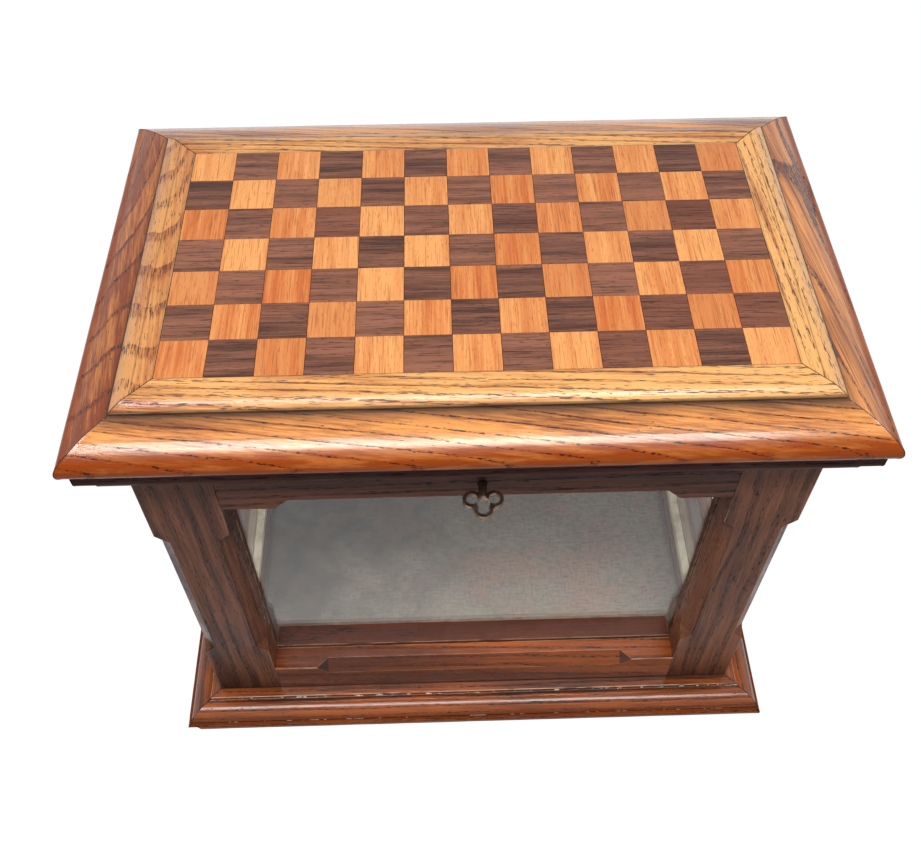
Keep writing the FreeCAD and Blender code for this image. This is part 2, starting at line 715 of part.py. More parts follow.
def squares(label, lattices):
    """Every second square in both directions, from each start (column, row) at the front left."""
    body = new_body(label)
    margin = s.inlay_gap / 2
    for column, row in lattices:
        left = s.square_side * column - field_x
        front = s.square_side * row - field_y
        outline = rectangle(left + margin, front + margin,
                            left + s.square_side - margin, front + s.square_side - margin)
        first = pad(body, sketch(body, "XY_Plane", [outline], step_top), s.inlay_thick)
        copies = row_of(body, [first], s.square_side * 2, f"ceil(({s.square_columns} - {column}) / 2)")
        copies.Direction2 = (origin(body, "Y_Axis"), [""])
        copies.Mode2 = "Spacing"
        # -1 leaves every gap of the second direction at Offset2
        copies.Spacings2 = [-1]
        copies.setExpression("Offset2", str(s.square_side * 2))
        copies.setExpression("Occurrences2", f"ceil(({s.square_rows} - {row}) / 2)")


def build():
    for side in SIDES:
        base_run(side)
        rail(side, upper=False)
        upper_rail = rail(side, upper=True)
        if side == "front":
            let_in_lock(upper_rail)
        if side == "back":
            sink_leaves(upper_rail, up=False)
            drill_hinge_pilots(upper_rail, up=False)
        pane(side)
        glazing_beads(side)
        cornice_run(side)
        rim_run(side)
        lid_moulding_run(side)
        lid_border_run(side)
    for corner in CORNERS:
        corner_post(corner)
    floor()
    lid_panel()
    squares("light_squares", [(0, 0), (1, 1)])
    squares("dark_squares", [(1, 0), (0, 1)])
    lock()
    lock_bolt()
    link_plate()
    key()
    hinges()
    doc.recompute()


def check():
    for item in doc.Objects:
        if "Invalid" in item.State or "Error" in item.State:
            raise RuntimeError(f"{item.Label} failed: {item.State}")
    for body in subparts:
        if body.Shape.isNull() or not body.Shape.isValid():
            raise RuntimeError(f"{body.Label} has no valid shape")


build()
check()
os.makedirs("parts", exist_ok=True)
for body in subparts:
    body.Shape.exportStep(f"parts/{body.Label}.step")
    print(f"{body.Label}: {len(body.Shape.Solids)} solids, {body.Shape.Volume / 1000:.1f} cm3")
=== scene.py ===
import bmesh
import bpy
import json
import math
import random
from mathutils import Euler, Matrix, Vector, noise


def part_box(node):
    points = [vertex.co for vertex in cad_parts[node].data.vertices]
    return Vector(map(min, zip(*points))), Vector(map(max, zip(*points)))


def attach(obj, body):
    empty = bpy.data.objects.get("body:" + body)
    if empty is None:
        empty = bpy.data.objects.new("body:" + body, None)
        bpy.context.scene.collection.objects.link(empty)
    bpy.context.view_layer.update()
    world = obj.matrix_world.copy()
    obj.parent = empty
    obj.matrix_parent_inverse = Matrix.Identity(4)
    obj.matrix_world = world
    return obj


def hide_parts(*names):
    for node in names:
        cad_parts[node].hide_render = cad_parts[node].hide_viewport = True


# Table-top display cabinet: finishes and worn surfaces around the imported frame.
# Metres, the front faces -Y, the base stands on z = 0.
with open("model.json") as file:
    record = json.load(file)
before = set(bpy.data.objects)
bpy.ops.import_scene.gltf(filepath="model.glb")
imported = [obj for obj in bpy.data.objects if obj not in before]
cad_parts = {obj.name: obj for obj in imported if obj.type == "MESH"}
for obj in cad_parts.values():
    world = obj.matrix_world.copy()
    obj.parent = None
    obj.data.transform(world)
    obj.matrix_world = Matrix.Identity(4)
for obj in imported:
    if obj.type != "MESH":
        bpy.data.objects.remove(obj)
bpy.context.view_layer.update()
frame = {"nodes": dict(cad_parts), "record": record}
nodes = frame["nodes"]
bodyOf = {node: body for body, members in frame["record"]["behaviour"]["bodies"].items() for node in members}
scene = bpy.context.scene
sides = ("front", "right", "back", "left")
corners = ("front_left", "front_right", "back_right", "back_left")
mm = 0.001


# Small helpers for node trees

def feed(tree, socket, value):
    if isinstance(value, bpy.types.NodeSocket):
        tree.links.new(value, socket)
        return
    if socket.type == "RGBA" and len(value) == 3:
        value = (*value, 1)
    socket.default_value = value


def addNode(tree, kind, settings=None, inputs=None):
    node = tree.nodes.new(kind)
    for name, value in (settings or {}).items():
        setattr(node, name, value)
    for name, value in (inputs or {}).items():
        feed(tree, node.inputs[name], value)
    return node


def calc(tree, operation, *values):
    return addNode(tree, "ShaderNodeMath", {"operation": operation}, dict(enumerate(values))).outputs[0]


def times(tree, first, second):
    return calc(tree, "MULTIPLY", first, second)


def vectorCalc(tree, operation, *values):
    node = addNode(tree, "ShaderNodeVectorMath", {"operation": operation}, dict(enumerate(values)))
    return node.outputs["Value" if operation == "LENGTH" else "Vector"]


def cloud(tree, vector, scale, detail=2.0, rough=0.5):
    stretched = vectorCalc(tree, "MULTIPLY", vector, scale)
    inputs = {"Vector": stretched, "Scale": 1.0, "Detail": detail, "Roughness": rough}
    return addNode(tree, "ShaderNodeTexNoise", {}, inputs).outputs[0]


def between(tree, value, low, high, outLow=0.0, outHigh=1.0):
    inputs = {"Value": value, "From Min": low, "From Max": high, "To Min": outLow, "To Max": outHigh}
    return addNode(tree, "ShaderNodeMapRange", {"interpolation_type": "SMOOTHSTEP"}, inputs).outputs[0]


def tint(tree, amount, first, second):
    node = addNode(tree, "ShaderNodeMix", {"data_type": "RGBA"}, {0: amount, 6: first, 7: second})
    return node.outputs[2]


def attribute(tree, name, output="Fac"):
    return addNode(tree, "ShaderNodeAttribute", {"attribute_name": name}).outputs[output]


def objectPlace(tree):
    return addNode(tree, "ShaderNodeTexCoord").outputs["Object"]


def combine(tree, **parts):
    return addNode(tree, "ShaderNodeCombineXYZ", {}, parts).outputs[0]


def addSwing(tree, total, layer, weight):
    return calc(tree, "MULTIPLY_ADD", calc(tree, "SUBTRACT", layer, 0.5), weight, total)


def newMaterial(name):
    material = bpy.data.materials.new(name)
    material.use_nodes = True
    tree = material.node_tree
    return material, tree, tree.nodes["Principled BSDF"]


def paintOn(tree, shader, colour, rough):
    feed(tree, shader.inputs["Base Color"], colour)
    feed(tree, shader.inputs["Roughness"], rough)


def mixSurfaces(tree, amount, first, second):
    mix = addNode(tree, "ShaderNodeMixShader", {}, {0: amount, 1: first.outputs[0], 2: second.outputs[0]})
    tree.links.new(mix.outputs[0], tree.nodes["Material Output"].inputs["Surface"])


def relief(tree, shader, height, distance, strength, crown=None):
    inputs = {"Height": height, "Distance": distance, "Strength": strength}
    bump = addNode(tree, "ShaderNodeBump", {}, inputs)
    if crown:
        rounded = addNode(tree, "ShaderNodeBump", {}, {"Height": crown, "Distance": 1.0, "Strength": 1.0})
        feed(tree, bump.inputs["Normal"], rounded.outputs[0])
    feed(tree, shader.inputs["Normal"], bump.outputs[0])


# Wood finishes. Each board carries "grain" (along, across, deep), "rings" (the same in the tree's frame),
# "tone", "amber", "crown" and masks for paler arrises and darker creases, chamfers and joints; creases,
# chamfers and bands beside mating parts are painted shade, and blunt arrises partly a painted highlight.

oakLooks = {
    "mouldingOak": {
        "pale": (1.0, 0.385, 0.092), "deep": (0.20, 0.040, 0.009), "pore": (0.020, 0.007, 0.004),
        "wornAndGlint": (0.85, 0.44, 0.18), "dirtAndShade": (0.016, 0.008, 0.005), "amber": (0.32, 0.052, 0.004),
        "ringWidth": 6.5 * mm, "tilt": (0.0, 2.0, 8.0), "pith": (0, 0.33, 0.11), "waver": 9 * mm,
        "poreLength": 3.6 * mm, "poreWidth": 0.62 * mm, "poreShare": 0.95, "poreCrowd": (0.20, -0.16),
        "gloss": 0.17, "shine": 0.08, "polish": 0.95, "spread": 1.3, "middle": 0.38, "early": 0.17,
    },
    "borderOak": {
        "pale": (1.0, 0.50, 0.160), "deep": (0.40, 0.098, 0.022), "pore": (0.07, 0.022, 0.008),
        "wornAndGlint": (1.0, 0.66, 0.32), "dirtAndShade": (0.030, 0.012, 0.007), "amber": (0.50, 0.12, 0.015),
        "ringWidth": 5 * mm, "tilt": (0.0, 1.0, 3.0), "pith": (0, 0.30, 0.10), "waver": 8 * mm,
        "poreLength": 6.5 * mm, "poreWidth": 0.5 * mm, "poreShare": 0.9, "poreCrowd": (0.13, -0.09),
        "gloss": 0.20, "shine": 0.5, "spread": 1.5, "middle": 0.38, "early": 0.40,
    },
    "postOak": {
        "pale": (0.275, 0.100, 0.050), "deep": (0.060, 0.019, 0.010), "pore": (0.006, 0.003, 0.002),
        "wornAndGlint": (0.36, 0.19, 0.12), "dirtAndShade": (0.007, 0.004, 0.003),
        "ringWidth": 11 * mm, "tilt": (0.0, 0.8, 1.2), "pith": (0, 0.32, 0.16), "waver": 26 * mm,
        "poreLength": 6 * mm, "poreWidth": 0.55 * mm, "poreShare": 0.75, "poreCrowd": (0.08, -0.10),
        "gloss": 0.30, "shine": 0.09, "spread": 1.15, "middle": 0.42, "early": 0.5,
    },
    # the top rails' oak, darker than the posts' as painted shade under the lid; the front glass beads use it
    # too
    "railOak": {
        "pale": (0.205, 0.068, 0.035), "deep": (0.060, 0.018, 0.011), "pore": (0.007, 0.004, 0.003),
        "wornAndGlint": (0.30, 0.15, 0.09), "dirtAndShade": (0.007, 0.004, 0.003),
        "ringWidth": 7 * mm, "tilt": (0.0, 1.0, 0.8), "pith": (0, 0.12, 0.34), "waver": 12 * mm,
        "poreLength": 7 * mm, "poreWidth": 0.7 * mm, "poreShare": 0.9, "poreCrowd": (0.15, -0.11),
        "gloss": 0.28, "shine": 0.08, "spread": 1.2, "middle": 0.42, "early": 0.40,
        "marks": (((-0.0272, -0.1118, 0.2812), 2.2 * mm), ((0.0258, -0.1118, 0.2815), 2.0 * mm)),
    },
    "baseOak": {
        "pale": (0.43, 0.100, 0.014), "deep": (0.070, 0.015, 0.004), "pore": (0.008, 0.003, 0.002),
        "wornAndGlint": (0.72, 0.38, 0.20), "dirtAndShade": (0.008, 0.004, 0.003), "amber": (0.19, 0.040, 0.008),
        "ringWidth": 6 * mm, "tilt": (0.0, 1.0, 1.5), "pith": (0, 0.22, 0.26), "waver": 10 * mm,
        "poreLength": 4.5 * mm, "poreWidth": 0.5 * mm, "poreShare": 0.85, "poreCrowd": (0.15, -0.13),
        "gloss": 0.22, "shine": 0.08, "polish": 0.8, "spread": 1.2, "middle": 0.42, "early": 0.35,
        "flecks": 0.75,
    },
    # dark oak for the rim and cornice, darkened further as painted shade under the lid nose
    "rimOak": {
        "pale": (0.075, 0.019, 0.012), "deep": (0.022, 0.007, 0.005), "pore": (0.006, 0.004, 0.003),
        "wornAndGlint": (0.20, 0.07, 0.04), "dirtAndShade": (0.006, 0.004, 0.003),
        "ringWidth": 5 * mm, "tilt": (0.0, 1.0, 1.0), "pith": (0, 0.16, 0.26), "waver": 6 * mm,
        "poreLength": 9 * mm, "poreWidth": 0.9 * mm, "poreShare": 0.7, "poreCrowd": (0.17, -0.11),
        "gloss": 0.45, "shine": 0.05, "spread": 0.9, "middle": 0.42, "early": 0.35,
    },
    "floorWood": {
        "pale": (0.38, 0.21, 0.10), "deep": (0.17, 0.080, 0.036), "pore": (0.06, 0.03, 0.015),
        "wornAndGlint": (0.45, 0.28, 0.16), "dirtAndShade": (0.05, 0.03, 0.02),
        "ringWidth": 5 * mm, "tilt": (0.0, 1.0, 1.0), "pith": (0, 0.1, 0.05), "waver": 6 * mm,
        "poreLength": 6 * mm, "poreWidth": 0.6 * mm, "poreShare": 0.4, "poreCrowd": (0.17, -0.11),
        "gloss": 0.55, "shine": 0.4, "spread": 0.6, "middle": 0.42, "early": 0.30,
    },
}
# noise per metre along and across the grain, and how far each layer moves the colour
grainScales = {
    "wander": (6, 30, 30), "fibre": (22, 900, 900), "bands": (8, 230, 230), "broad": (7, 26, 26),
    "paleEdges": (60, 160, 160), "fleck": (230, 500, 500), "smudge": (30, 45, 45),
}
grainWeights = {"fibre": 1.5, "ring": 0.3, "early": 0.25, "bands": 1.0, "broad": 1.6}
grainRelief = {"height": 0.25 * mm, "strength": 0.6, "fibre": 0.35}
fleckPaint = (0.85, 0.76, 0.64)


def oakFinish(name, look):
    material, tree, shader = newMaterial(name)
    grain = attribute(tree, "grain", "Vector")
    # growth rings about a slanting pith
    heartwood = {"Rotation": tuple(math.radians(angle) for angle in look["tilt"]), "Location": look["pith"]}
    slanted, heart = (addNode(tree, "ShaderNodeMapping", {}, {"Vector": vector, **heartwood}).outputs[0]
                      for vector in (grain, attribute(tree, "rings", "Vector")))
    radius = vectorCalc(tree, "LENGTH", vectorCalc(tree, "MULTIPLY", heart, (0, 1, 1)))
    wander = calc(tree, "SUBTRACT", cloud(tree, slanted, grainScales["wander"], 3), 0.5)
    ring = calc(tree, "DIVIDE", calc(tree, "MULTIPLY_ADD", wander, look["waver"], radius), look["ringWidth"])
    phase = calc(tree, "FRACT", ring)
    ringTone = addNode(tree, "ShaderNodeTexWhiteNoise", {"noise_dimensions": "1D"},
                       {"W": calc(tree, "FLOOR", ring)}).outputs["Value"]
    early = calc(tree, "MAXIMUM", between(tree, phase, look["early"], look["early"] * 0.4),
                 between(tree, phase, 0.97, 1.0))
    # pores are short dark dashes crowded in the early wood
    dashScale = (1 / look["poreLength"], 1 / look["poreWidth"], 1 / look["poreWidth"])
    crowding = calc(tree, "MULTIPLY_ADD", early, *look["poreCrowd"])
    pore = between(tree, calc(tree, "ADD", cloud(tree, slanted, dashScale, 1), crowding), 0.57, 0.61)
    # from pale to deep
    fibre = cloud(tree, slanted, grainScales["fibre"], 4, 0.6)
    bands = cloud(tree, slanted, grainScales["bands"], 3)
    broad = cloud(tree, slanted, grainScales["broad"], 3)
    depth = calc(tree, "MULTIPLY_ADD", early, grainWeights["early"], attribute(tree, "tone"))
    for layer, weight in ((fibre, "fibre"), (ringTone, "ring"), (bands, "bands"), (broad, "broad")):
        depth = addSwing(tree, depth, layer, grainWeights[weight])
    depth = calc(tree, "MULTIPLY_ADD", depth, look["spread"], look["middle"])
    colour = tint(tree, depth, look["pale"], look["deep"])
    # arrises are paler, from wear and on the blunt ones partly a painted highlight, but not where the amber
    # colour darkens the mouldings and some boards (varnish, on the lower noses partly painted shade)
    paleEdges = between(tree, cloud(tree, grain, grainScales["paleEdges"], 3), 0.32, 0.56)
    wearAndGlint = times(tree, attribute(tree, "paleArrisMask"), paleEdges)
    if "amber" in look:
        amber = between(tree, attribute(tree, "amber"), 0.05, 0.6, 0.0, 0.97)
        uneven = between(tree, bands, 0.38, 0.58, 0.75, 1.0)
        colour = tint(tree, times(tree, amber, uneven), colour, look["amber"])
        bare = calc(tree, "SUBTRACT", 1.0, amber)
        wearAndGlint = times(tree, wearAndGlint, bare)
    colour = tint(tree, times(tree, pore, look["poreShare"]), colour, look["pore"])
    colour = tint(tree, times(tree, wearAndGlint, 0.9), colour, look["wornAndGlint"])
    # joints hold dirt; inner corners and bands beside mating parts hold dirt and painted shade, and chamfers
    # painted shade
    crease = attribute(tree, "creaseDirtAndShade")
    dirtAndShade = calc(tree, "MAXIMUM", attribute(tree, "jointDirt"), crease)
    dirtAndShade = times(tree, calc(tree, "MAXIMUM", dirtAndShade, attribute(tree, "chamferShade")), 0.9)
    colour = tint(tree, dirtAndShade, colour, look["dirtAndShade"])
    if "flecks" in look:
        fleck = between(tree, cloud(tree, grain, grainScales["fleck"], 2), 0.58, 0.63, 0.0, look["flecks"])
        colour = tint(tree, times(tree, fleck, crease), colour, fleckPaint)
    for centre, reach in look.get("marks", ()):
        away = vectorCalc(tree, "LENGTH", vectorCalc(tree, "SUBTRACT", objectPlace(tree), centre))
        ragged = calc(tree, "MULTIPLY_ADD", fibre, reach * 0.8, away)
        colour = tint(tree, between(tree, ragged, reach * 1.4, reach * 1.1), colour, look["dirtAndShade"])
    smudge = between(tree, cloud(tree, grain, grainScales["smudge"], 3), 0.3, 0.7,
                     look["gloss"] - 0.05, look["gloss"] + 0.1)
    dull = calc(tree, "MULTIPLY_ADD", pore, 0.25, smudge)
    paintOn(tree, shader, colour, calc(tree, "MULTIPLY_ADD", dirtAndShade, 0.4, dull))
    height = calc(tree, "SUBTRACT", times(tree, fibre, grainRelief["fibre"]), pore)
    relief(tree, shader, height, grainRelief["height"], grainRelief["strength"], attribute(tree, "crown"))
    shader.inputs["Specular IOR Level"].default_value = look["shine"]
    if "polish" in look:
        feed(tree, shader.inputs["Coat Weight"], times(tree, bare, look["polish"]))
        feed(tree, shader.inputs["Coat Normal"], shader.inputs["Normal"].links[0].from_socket)
        shader.inputs["Coat Roughness"].default_value = look["gloss"]
    return material


inlayLooks = {
    "lightInlay": {
        "pale": (1.0, 0.445, 0.150), "deep": (0.67, 0.170, 0.044), "line": (0.34, 0.085, 0.022),
        "warm": (0.62, 0.17, 0.050), "lineShare": 0.55, "toneSpread": 0.9, "bandSpread": 1.7,
        "gloss": 0.33, "shine": 0.25,
    },
    "darkInlay": {
        "pale": (0.35, 0.142, 0.086), "deep": (0.085, 0.034, 0.024), "line": (0.022, 0.011, 0.010),
        "warm": (0.24, 0.078, 0.045), "lineShare": 0.75, "toneSpread": 0.6, "bandSpread": 2.4,
        "gloss": 0.33, "shine": 0.2,
    },
}
inlayGrain = {
    "fine": (30, 900, 900), "bands": (8, 190, 190), "lines": (45, 1300, 1300), "flecks": (220, 1500, 1500),
    "smudge": (40, 40, 40), "middle": 0.42, "fineSpread": 1.6, "relief": (0.08 * mm, 0.6),
}


def inlayFinish(name, look):
    material, tree, shader = newMaterial(name)
    grain = attribute(tree, "grain", "Vector")
    tile = attribute(tree, "tile")
    fine = cloud(tree, grain, inlayGrain["fine"], 4, 0.65)
    bands = cloud(tree, grain, inlayGrain["bands"], 3)
    lines = between(tree, cloud(tree, grain, inlayGrain["lines"], 2), 0.56, 0.68)
    flecks = between(tree, cloud(tree, grain, inlayGrain["flecks"], 1), 0.62, 0.70)
    depth = inlayGrain["middle"]
    for layer, weight in ((fine, inlayGrain["fineSpread"]), (bands, look["bandSpread"]),
                          (tile, look["toneSpread"])):
        depth = addSwing(tree, depth, layer, weight)
    colour = tint(tree, depth, look["pale"], look["deep"])
    # a few squares are redder than their neighbours
    other = calc(tree, "FRACT", times(tree, tile, 7.31))
    colour = tint(tree, between(tree, other, 0.80, 0.95, 0.0, 0.5), colour, look["warm"])
    streak = calc(tree, "MAXIMUM", lines, times(tree, flecks, 0.8))
    colour = tint(tree, times(tree, streak, look["lineShare"]), colour, look["line"])
    smudge = between(tree, cloud(tree, grain, inlayGrain["smudge"], 3), 0.3, 0.7,
                     look["gloss"] - 0.05, look["gloss"] + 0.12)
    paintOn(tree, shader, colour, smudge)
    relief(tree, shader, calc(tree, "SUBTRACT", fine, streak), *inlayGrain["relief"])
    shader.inputs["Specular IOR Level"].default_value = look["shine"]
    return material


metalLooks = {
    "hingeBrass": {"clean": (0.62, 0.42, 0.18), "tarnish": (0.16, 0.10, 0.05), "share": 0.55, "gloss": 0.34},
    "lockBrass": {"clean": (0.66, 0.46, 0.20), "tarnish": (0.20, 0.12, 0.06), "share": 0.5, "gloss": 0.32},
    "screwSteel": {"clean": (0.40, 0.38, 0.36), "tarnish": (0.10, 0.07, 0.05), "share": 0.6, "gloss": 0.4},
    "keyIron": {"clean": (0.30, 0.20, 0.14), "tarnish": (0.075, 0.050, 0.038), "share": 0.7, "gloss": 0.36},
}
metalSkin = {
    "patches": (260, 260, 260), "pits": (1500, 1500, 1500), "hairlines": (2200, 160, 900),
    "relief": (0.06 * mm, 0.5),
}


def metalFinish(name, look):
    material, tree, shader = newMaterial(name)
    place = objectPlace(tree)
    patches = between(tree, cloud(tree, place, metalSkin["patches"], 4, 0.6), 0.38, 0.62)
    pits = between(tree, cloud(tree, place, metalSkin["pits"], 2), 0.60, 0.72)
    hairlines = cloud(tree, place, metalSkin["hairlines"], 2)
    paleEdges = times(tree, attribute(tree, "paleArrisMask"), 0.5)
    dark = calc(tree, "MULTIPLY_ADD", patches, look["share"], times(tree, pits, 0.5))
    dark = calc(tree, "SUBTRACT", calc(tree, "MULTIPLY_ADD", hairlines, 0.2, dark), paleEdges)
    rough = between(tree, dark, 0.0, 1.0, look["gloss"] - 0.08, look["gloss"] + 0.2)
    paintOn(tree, shader, tint(tree, dark, look["clean"], look["tarnish"]), rough)
    shader.inputs["Metallic"].default_value = 1.0
    relief(tree, shader, calc(tree, "SUBTRACT", hairlines, pits), *metalSkin["relief"])
    return material


beadPaint = {
    "cream": (0.66, 0.58, 0.42), "aged": (0.36, 0.27, 0.15), "crack": (0.16, 0.11, 0.06),
    "agedScale": (45, 45, 45), "brushScale": (300, 300, 300), "chipScale": (420, 420, 420),
    "relief": (0.15 * mm, 0.5),
}


def paintFinish(name, look):
    material, tree, shader = newMaterial(name)
    place = objectPlace(tree)
    aged = between(tree, cloud(tree, place, look["agedScale"], 4, 0.6), 0.40, 0.68)
    brush = cloud(tree, place, look["brushScale"], 3)
    chips = between(tree, cloud(tree, place, look["chipScale"], 3), 0.64, 0.70)
    colour = tint(tree, aged, look["cream"], look["aged"])
    colour = tint(tree, times(tree, chips, 0.8), colour, look["crack"])
    paintOn(tree, shader, colour, between(tree, brush, 0.3, 0.7, 0.42, 0.6))
    relief(tree, shader, calc(tree, "SUBTRACT", brush, chips), *look["relief"])
    return material


liningCloth = {
    "linen": (0.245, 0.195, 0.148), "shade": (0.060, 0.054, 0.048), "rosy": (0.300, 0.165, 0.115),
    "speck": (0.02, 0.016, 0.013), "shadeSlope": {"X": -1.1, "Y": 1.0}, "relief": (0.03 * mm, 0.15),
    "weftScale": (130, 620, 1), "warpScale": (620, 130, 1), "fuzzScale": (900, 900, 1),
    "patchScale": (16, 22, 1), "rosyScale": (15, 22, 3), "speckScale": (260, 260, 1),
}


def clothFinish(name, look):
    material, tree, shader = newMaterial(name)
    place = objectPlace(tree)
    parts = addNode(tree, "ShaderNodeSeparateXYZ", {}, {"Vector": place})
    weft = cloud(tree, place, look["weftScale"], 3, 0.65)
    warp = cloud(tree, place, look["warpScale"], 3, 0.65)
    threads = calc(tree, "MULTIPLY_ADD", warp, 0.7, weft)
    fuzz = cloud(tree, place, look["fuzzScale"], 2, 0.6)
    # faded and stained in patches, and darker towards the left and the back as painted shade under the lid
    patches = cloud(tree, place, look["patchScale"], 5, 0.55)
    for axis, slope in look["shadeSlope"].items():
        patches = calc(tree, "MULTIPLY_ADD", parts.outputs[axis], slope, patches)
    rosy = between(tree, cloud(tree, place, look["rosyScale"], 5, 0.65), 0.48, 0.60)
    rosy = times(tree, rosy, between(tree, parts.outputs["X"], -0.10, 0.05, 0.25, 0.75))
    specks = between(tree, cloud(tree, place, look["speckScale"], 2), 0.70, 0.74)
    colour = tint(tree, between(tree, patches, 0.32, 0.74), look["linen"], look["shade"])
    colour = tint(tree, rosy, colour, look["rosy"])
    colour = tint(tree, between(tree, threads, 0.70, 1.05, 0.0, 0.55), colour, look["shade"])
    colour = tint(tree, between(tree, fuzz, 0.35, 0.65, 0.0, 0.2), colour, look["shade"])
    colour = tint(tree, times(tree, specks, 0.8), colour, look["speck"])
    paintOn(tree, shader, colour, between(tree, threads, 0.6, 1.1, 0.8, 0.95))
    relief(tree, shader, calc(tree, "ADD", threads, fuzz), *look["relief"])
    return material


glassLook = {
    "colour": (0.955, 0.965, 0.955), "smear": 0.01, "bend": 1.3, "relief": (0.4 * mm, 0.08),
    "smearScale": (30, 30, 12), "waveScale": (14, 14, 9),
}


def glassFinish(name, look):
    material, tree, shader = newMaterial(name)
    place = objectPlace(tree)
    smears = between(tree, cloud(tree, place, look["smearScale"], 4, 0.6), 0.5, 0.75, 0.0, look["smear"])
    paintOn(tree, shader, look["colour"], smears)
    shader.inputs["Transmission Weight"].default_value = 1.0
    shader.inputs["IOR"].default_value = look["bend"]
    relief(tree, shader, cloud(tree, place, look["waveScale"], 2), *look["relief"])
    clear = addNode(tree, "ShaderNodeBsdfTransparent", {}, {"Color": look["colour"]})
    mixSurfaces(tree, addNode(tree, "ShaderNodeLightPath").outputs["Is Shadow Ray"], shader, clear)
    return material


finishes = {}
for makeFinish, looks in ((oakFinish, oakLooks), (inlayFinish, inlayLooks), (metalFinish, metalLooks)):
    finishes.update({name: makeFinish(name, look) for name, look in looks.items()})
finishes["beadPaint"] = paintFinish("beadPaint", beadPaint)
finishes["liningCloth"] = clothFinish("liningCloth", liningCloth)
finishes["glass"] = glassFinish("glass", glassLook)
print("finishes:", len(finishes))


# Softened copies of the frame's rigid pieces

def finishPiece(piece, body, node):
    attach(piece, body)
    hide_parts(node)


def meshObject(name, bm, material=None):
    mesh = bpy.data.meshes.new(name)
    bm.to_mesh(mesh)
    bm.free()
    if material:
        mesh.materials.clear()
        mesh.materials.append(material)
    piece = bpy.data.objects.new(name, mesh)
    scene.collection.objects.link(piece)
    return piece


def smoothShade(piece, sharpAngle=38):
    mesh = piece.data
    mesh.polygons.foreach_set("use_smooth", [True] * len(mesh.polygons))
    mesh.set_sharp_from_angle(angle=math.radians(sharpAngle))
    weighted = piece.modifiers.new("evenShade", "WEIGHTED_NORMAL")
    weighted.keep_sharp = True


weld = {"gap": 0.002 * mm, "flat": math.radians(0.8)}


def weldedMesh(node):
    bm = bmesh.new()
    bm.from_mesh(nodes[node].data)
    bmesh.ops.remove_doubles(bm, verts=bm.verts, dist=weld["gap"])
    return bm


def mergedCopy(node):
    bm = weldedMesh(node)
    bmesh.ops.dissolve_limit(bm, angle_limit=weld["flat"], verts=bm.verts, edges=bm.edges)
    return bm


def finishedCopy(node, bm, look):
    piece = meshObject(f"{node}_finished", bm, finishes[look["finish"]])
    smoothShade(piece)
    finishPiece(piece, bodyOf[node], node)


# smallest and largest face angle of each kind of edge, what its bevel is marked with and how much, and its
# width against the width asked for;
# inner corners are marked for dust and painted crease shade, blunt arrises for wear and a partly painted
# highlight
edgeKinds = (
    {"convex": False, "angles": (50, 180), "layer": "creaseDirtAndShade", "amount": 1.0, "share": 1.0},
    {"convex": True, "angles": (60, 180), "layer": "paleArrisMask", "amount": 1.0, "share": 1.0},
    # blunt arrises: paler for wear, and partly as a painted highlight along them
    {"convex": True, "angles": (25, 60), "layer": "paleArrisMask", "amount": 0.5, "share": 2.2},
)


def roundArrises(bm, width, segments, skipFace=None):
    layers = {name: bm.faces.layers.float.new(name) for name in ("paleArrisMask", "creaseDirtAndShade")}
    done = set()
    for kind in edgeKinds:
        bm.normal_update()
        least, most = (math.radians(angle) for angle in kind["angles"])
        chosen = []
        for edge in bm.edges:
            if not edge.is_manifold or edge.is_convex != kind["convex"]:
                continue
            if not least <= edge.calc_face_angle(0) < most or any(face in done for face in edge.link_faces):
                continue
            if skipFace and any(skipFace(face) for face in edge.link_faces):
                continue
            chosen.append(edge)
        if not chosen:
            continue
        made = bmesh.ops.bevel(
            bm, geom=chosen, offset=width * kind["share"], offset_type="OFFSET", profile=0.5, affect="EDGES",
            segments=segments if kind["convex"] else 1, clamp_overlap=True)
        for face in made["faces"]:
            face[layers[kind["layer"]]] = kind["amount"]
        done = {face for face in bm.faces if max(face[layer] for layer in layers.values()) > 0}


boardWear = {
    "jointGap": 0.09 * mm, "dirtReach": (0.5 * mm, 2.2 * mm), "swayScale": 55, "swayShift": 7,
    "grainRun": 9, "grainDrift": 0.012, "endSlant": 0.6, "stopSlant": (0.2, 0.95),
    "chamferSlant": (0.05, 0.8), "chamferArea": 100 * mm * mm, "onPlane": 1e-7,
}


def cutAcross(bm, spot, normal):
    everything = [*bm.verts, *bm.edges, *bm.faces]
    bmesh.ops.bisect_plane(bm, geom=everything, dist=boardWear["onPlane"], plane_co=spot, plane_no=normal)


def cutStations(bm, axis, low, high, step):
    count = max(1, round((high - low) / step))
    normal = Vector([1.0 if index == axis else 0.0 for index in range(3)])
    for index in range(1, count):
        cutAcross(bm, normal * (low + (high - low) * index / count), normal)


def grainAxes(node):
    if node.startswith("post"):
        return 2, 0, 1
    return (1, 0, 2) if node.endswith(("left", "right")) else (0, 1, 2)


def isEnd(face, axis):
    return abs(face.normal[axis]) > boardWear["endSlant"]


outward = {
    "front": Vector((0, -1, 0)), "right": Vector((1, 0, 0)),
    "back": Vector((0, 1, 0)), "left": Vector((-1, 0, 0)),
}
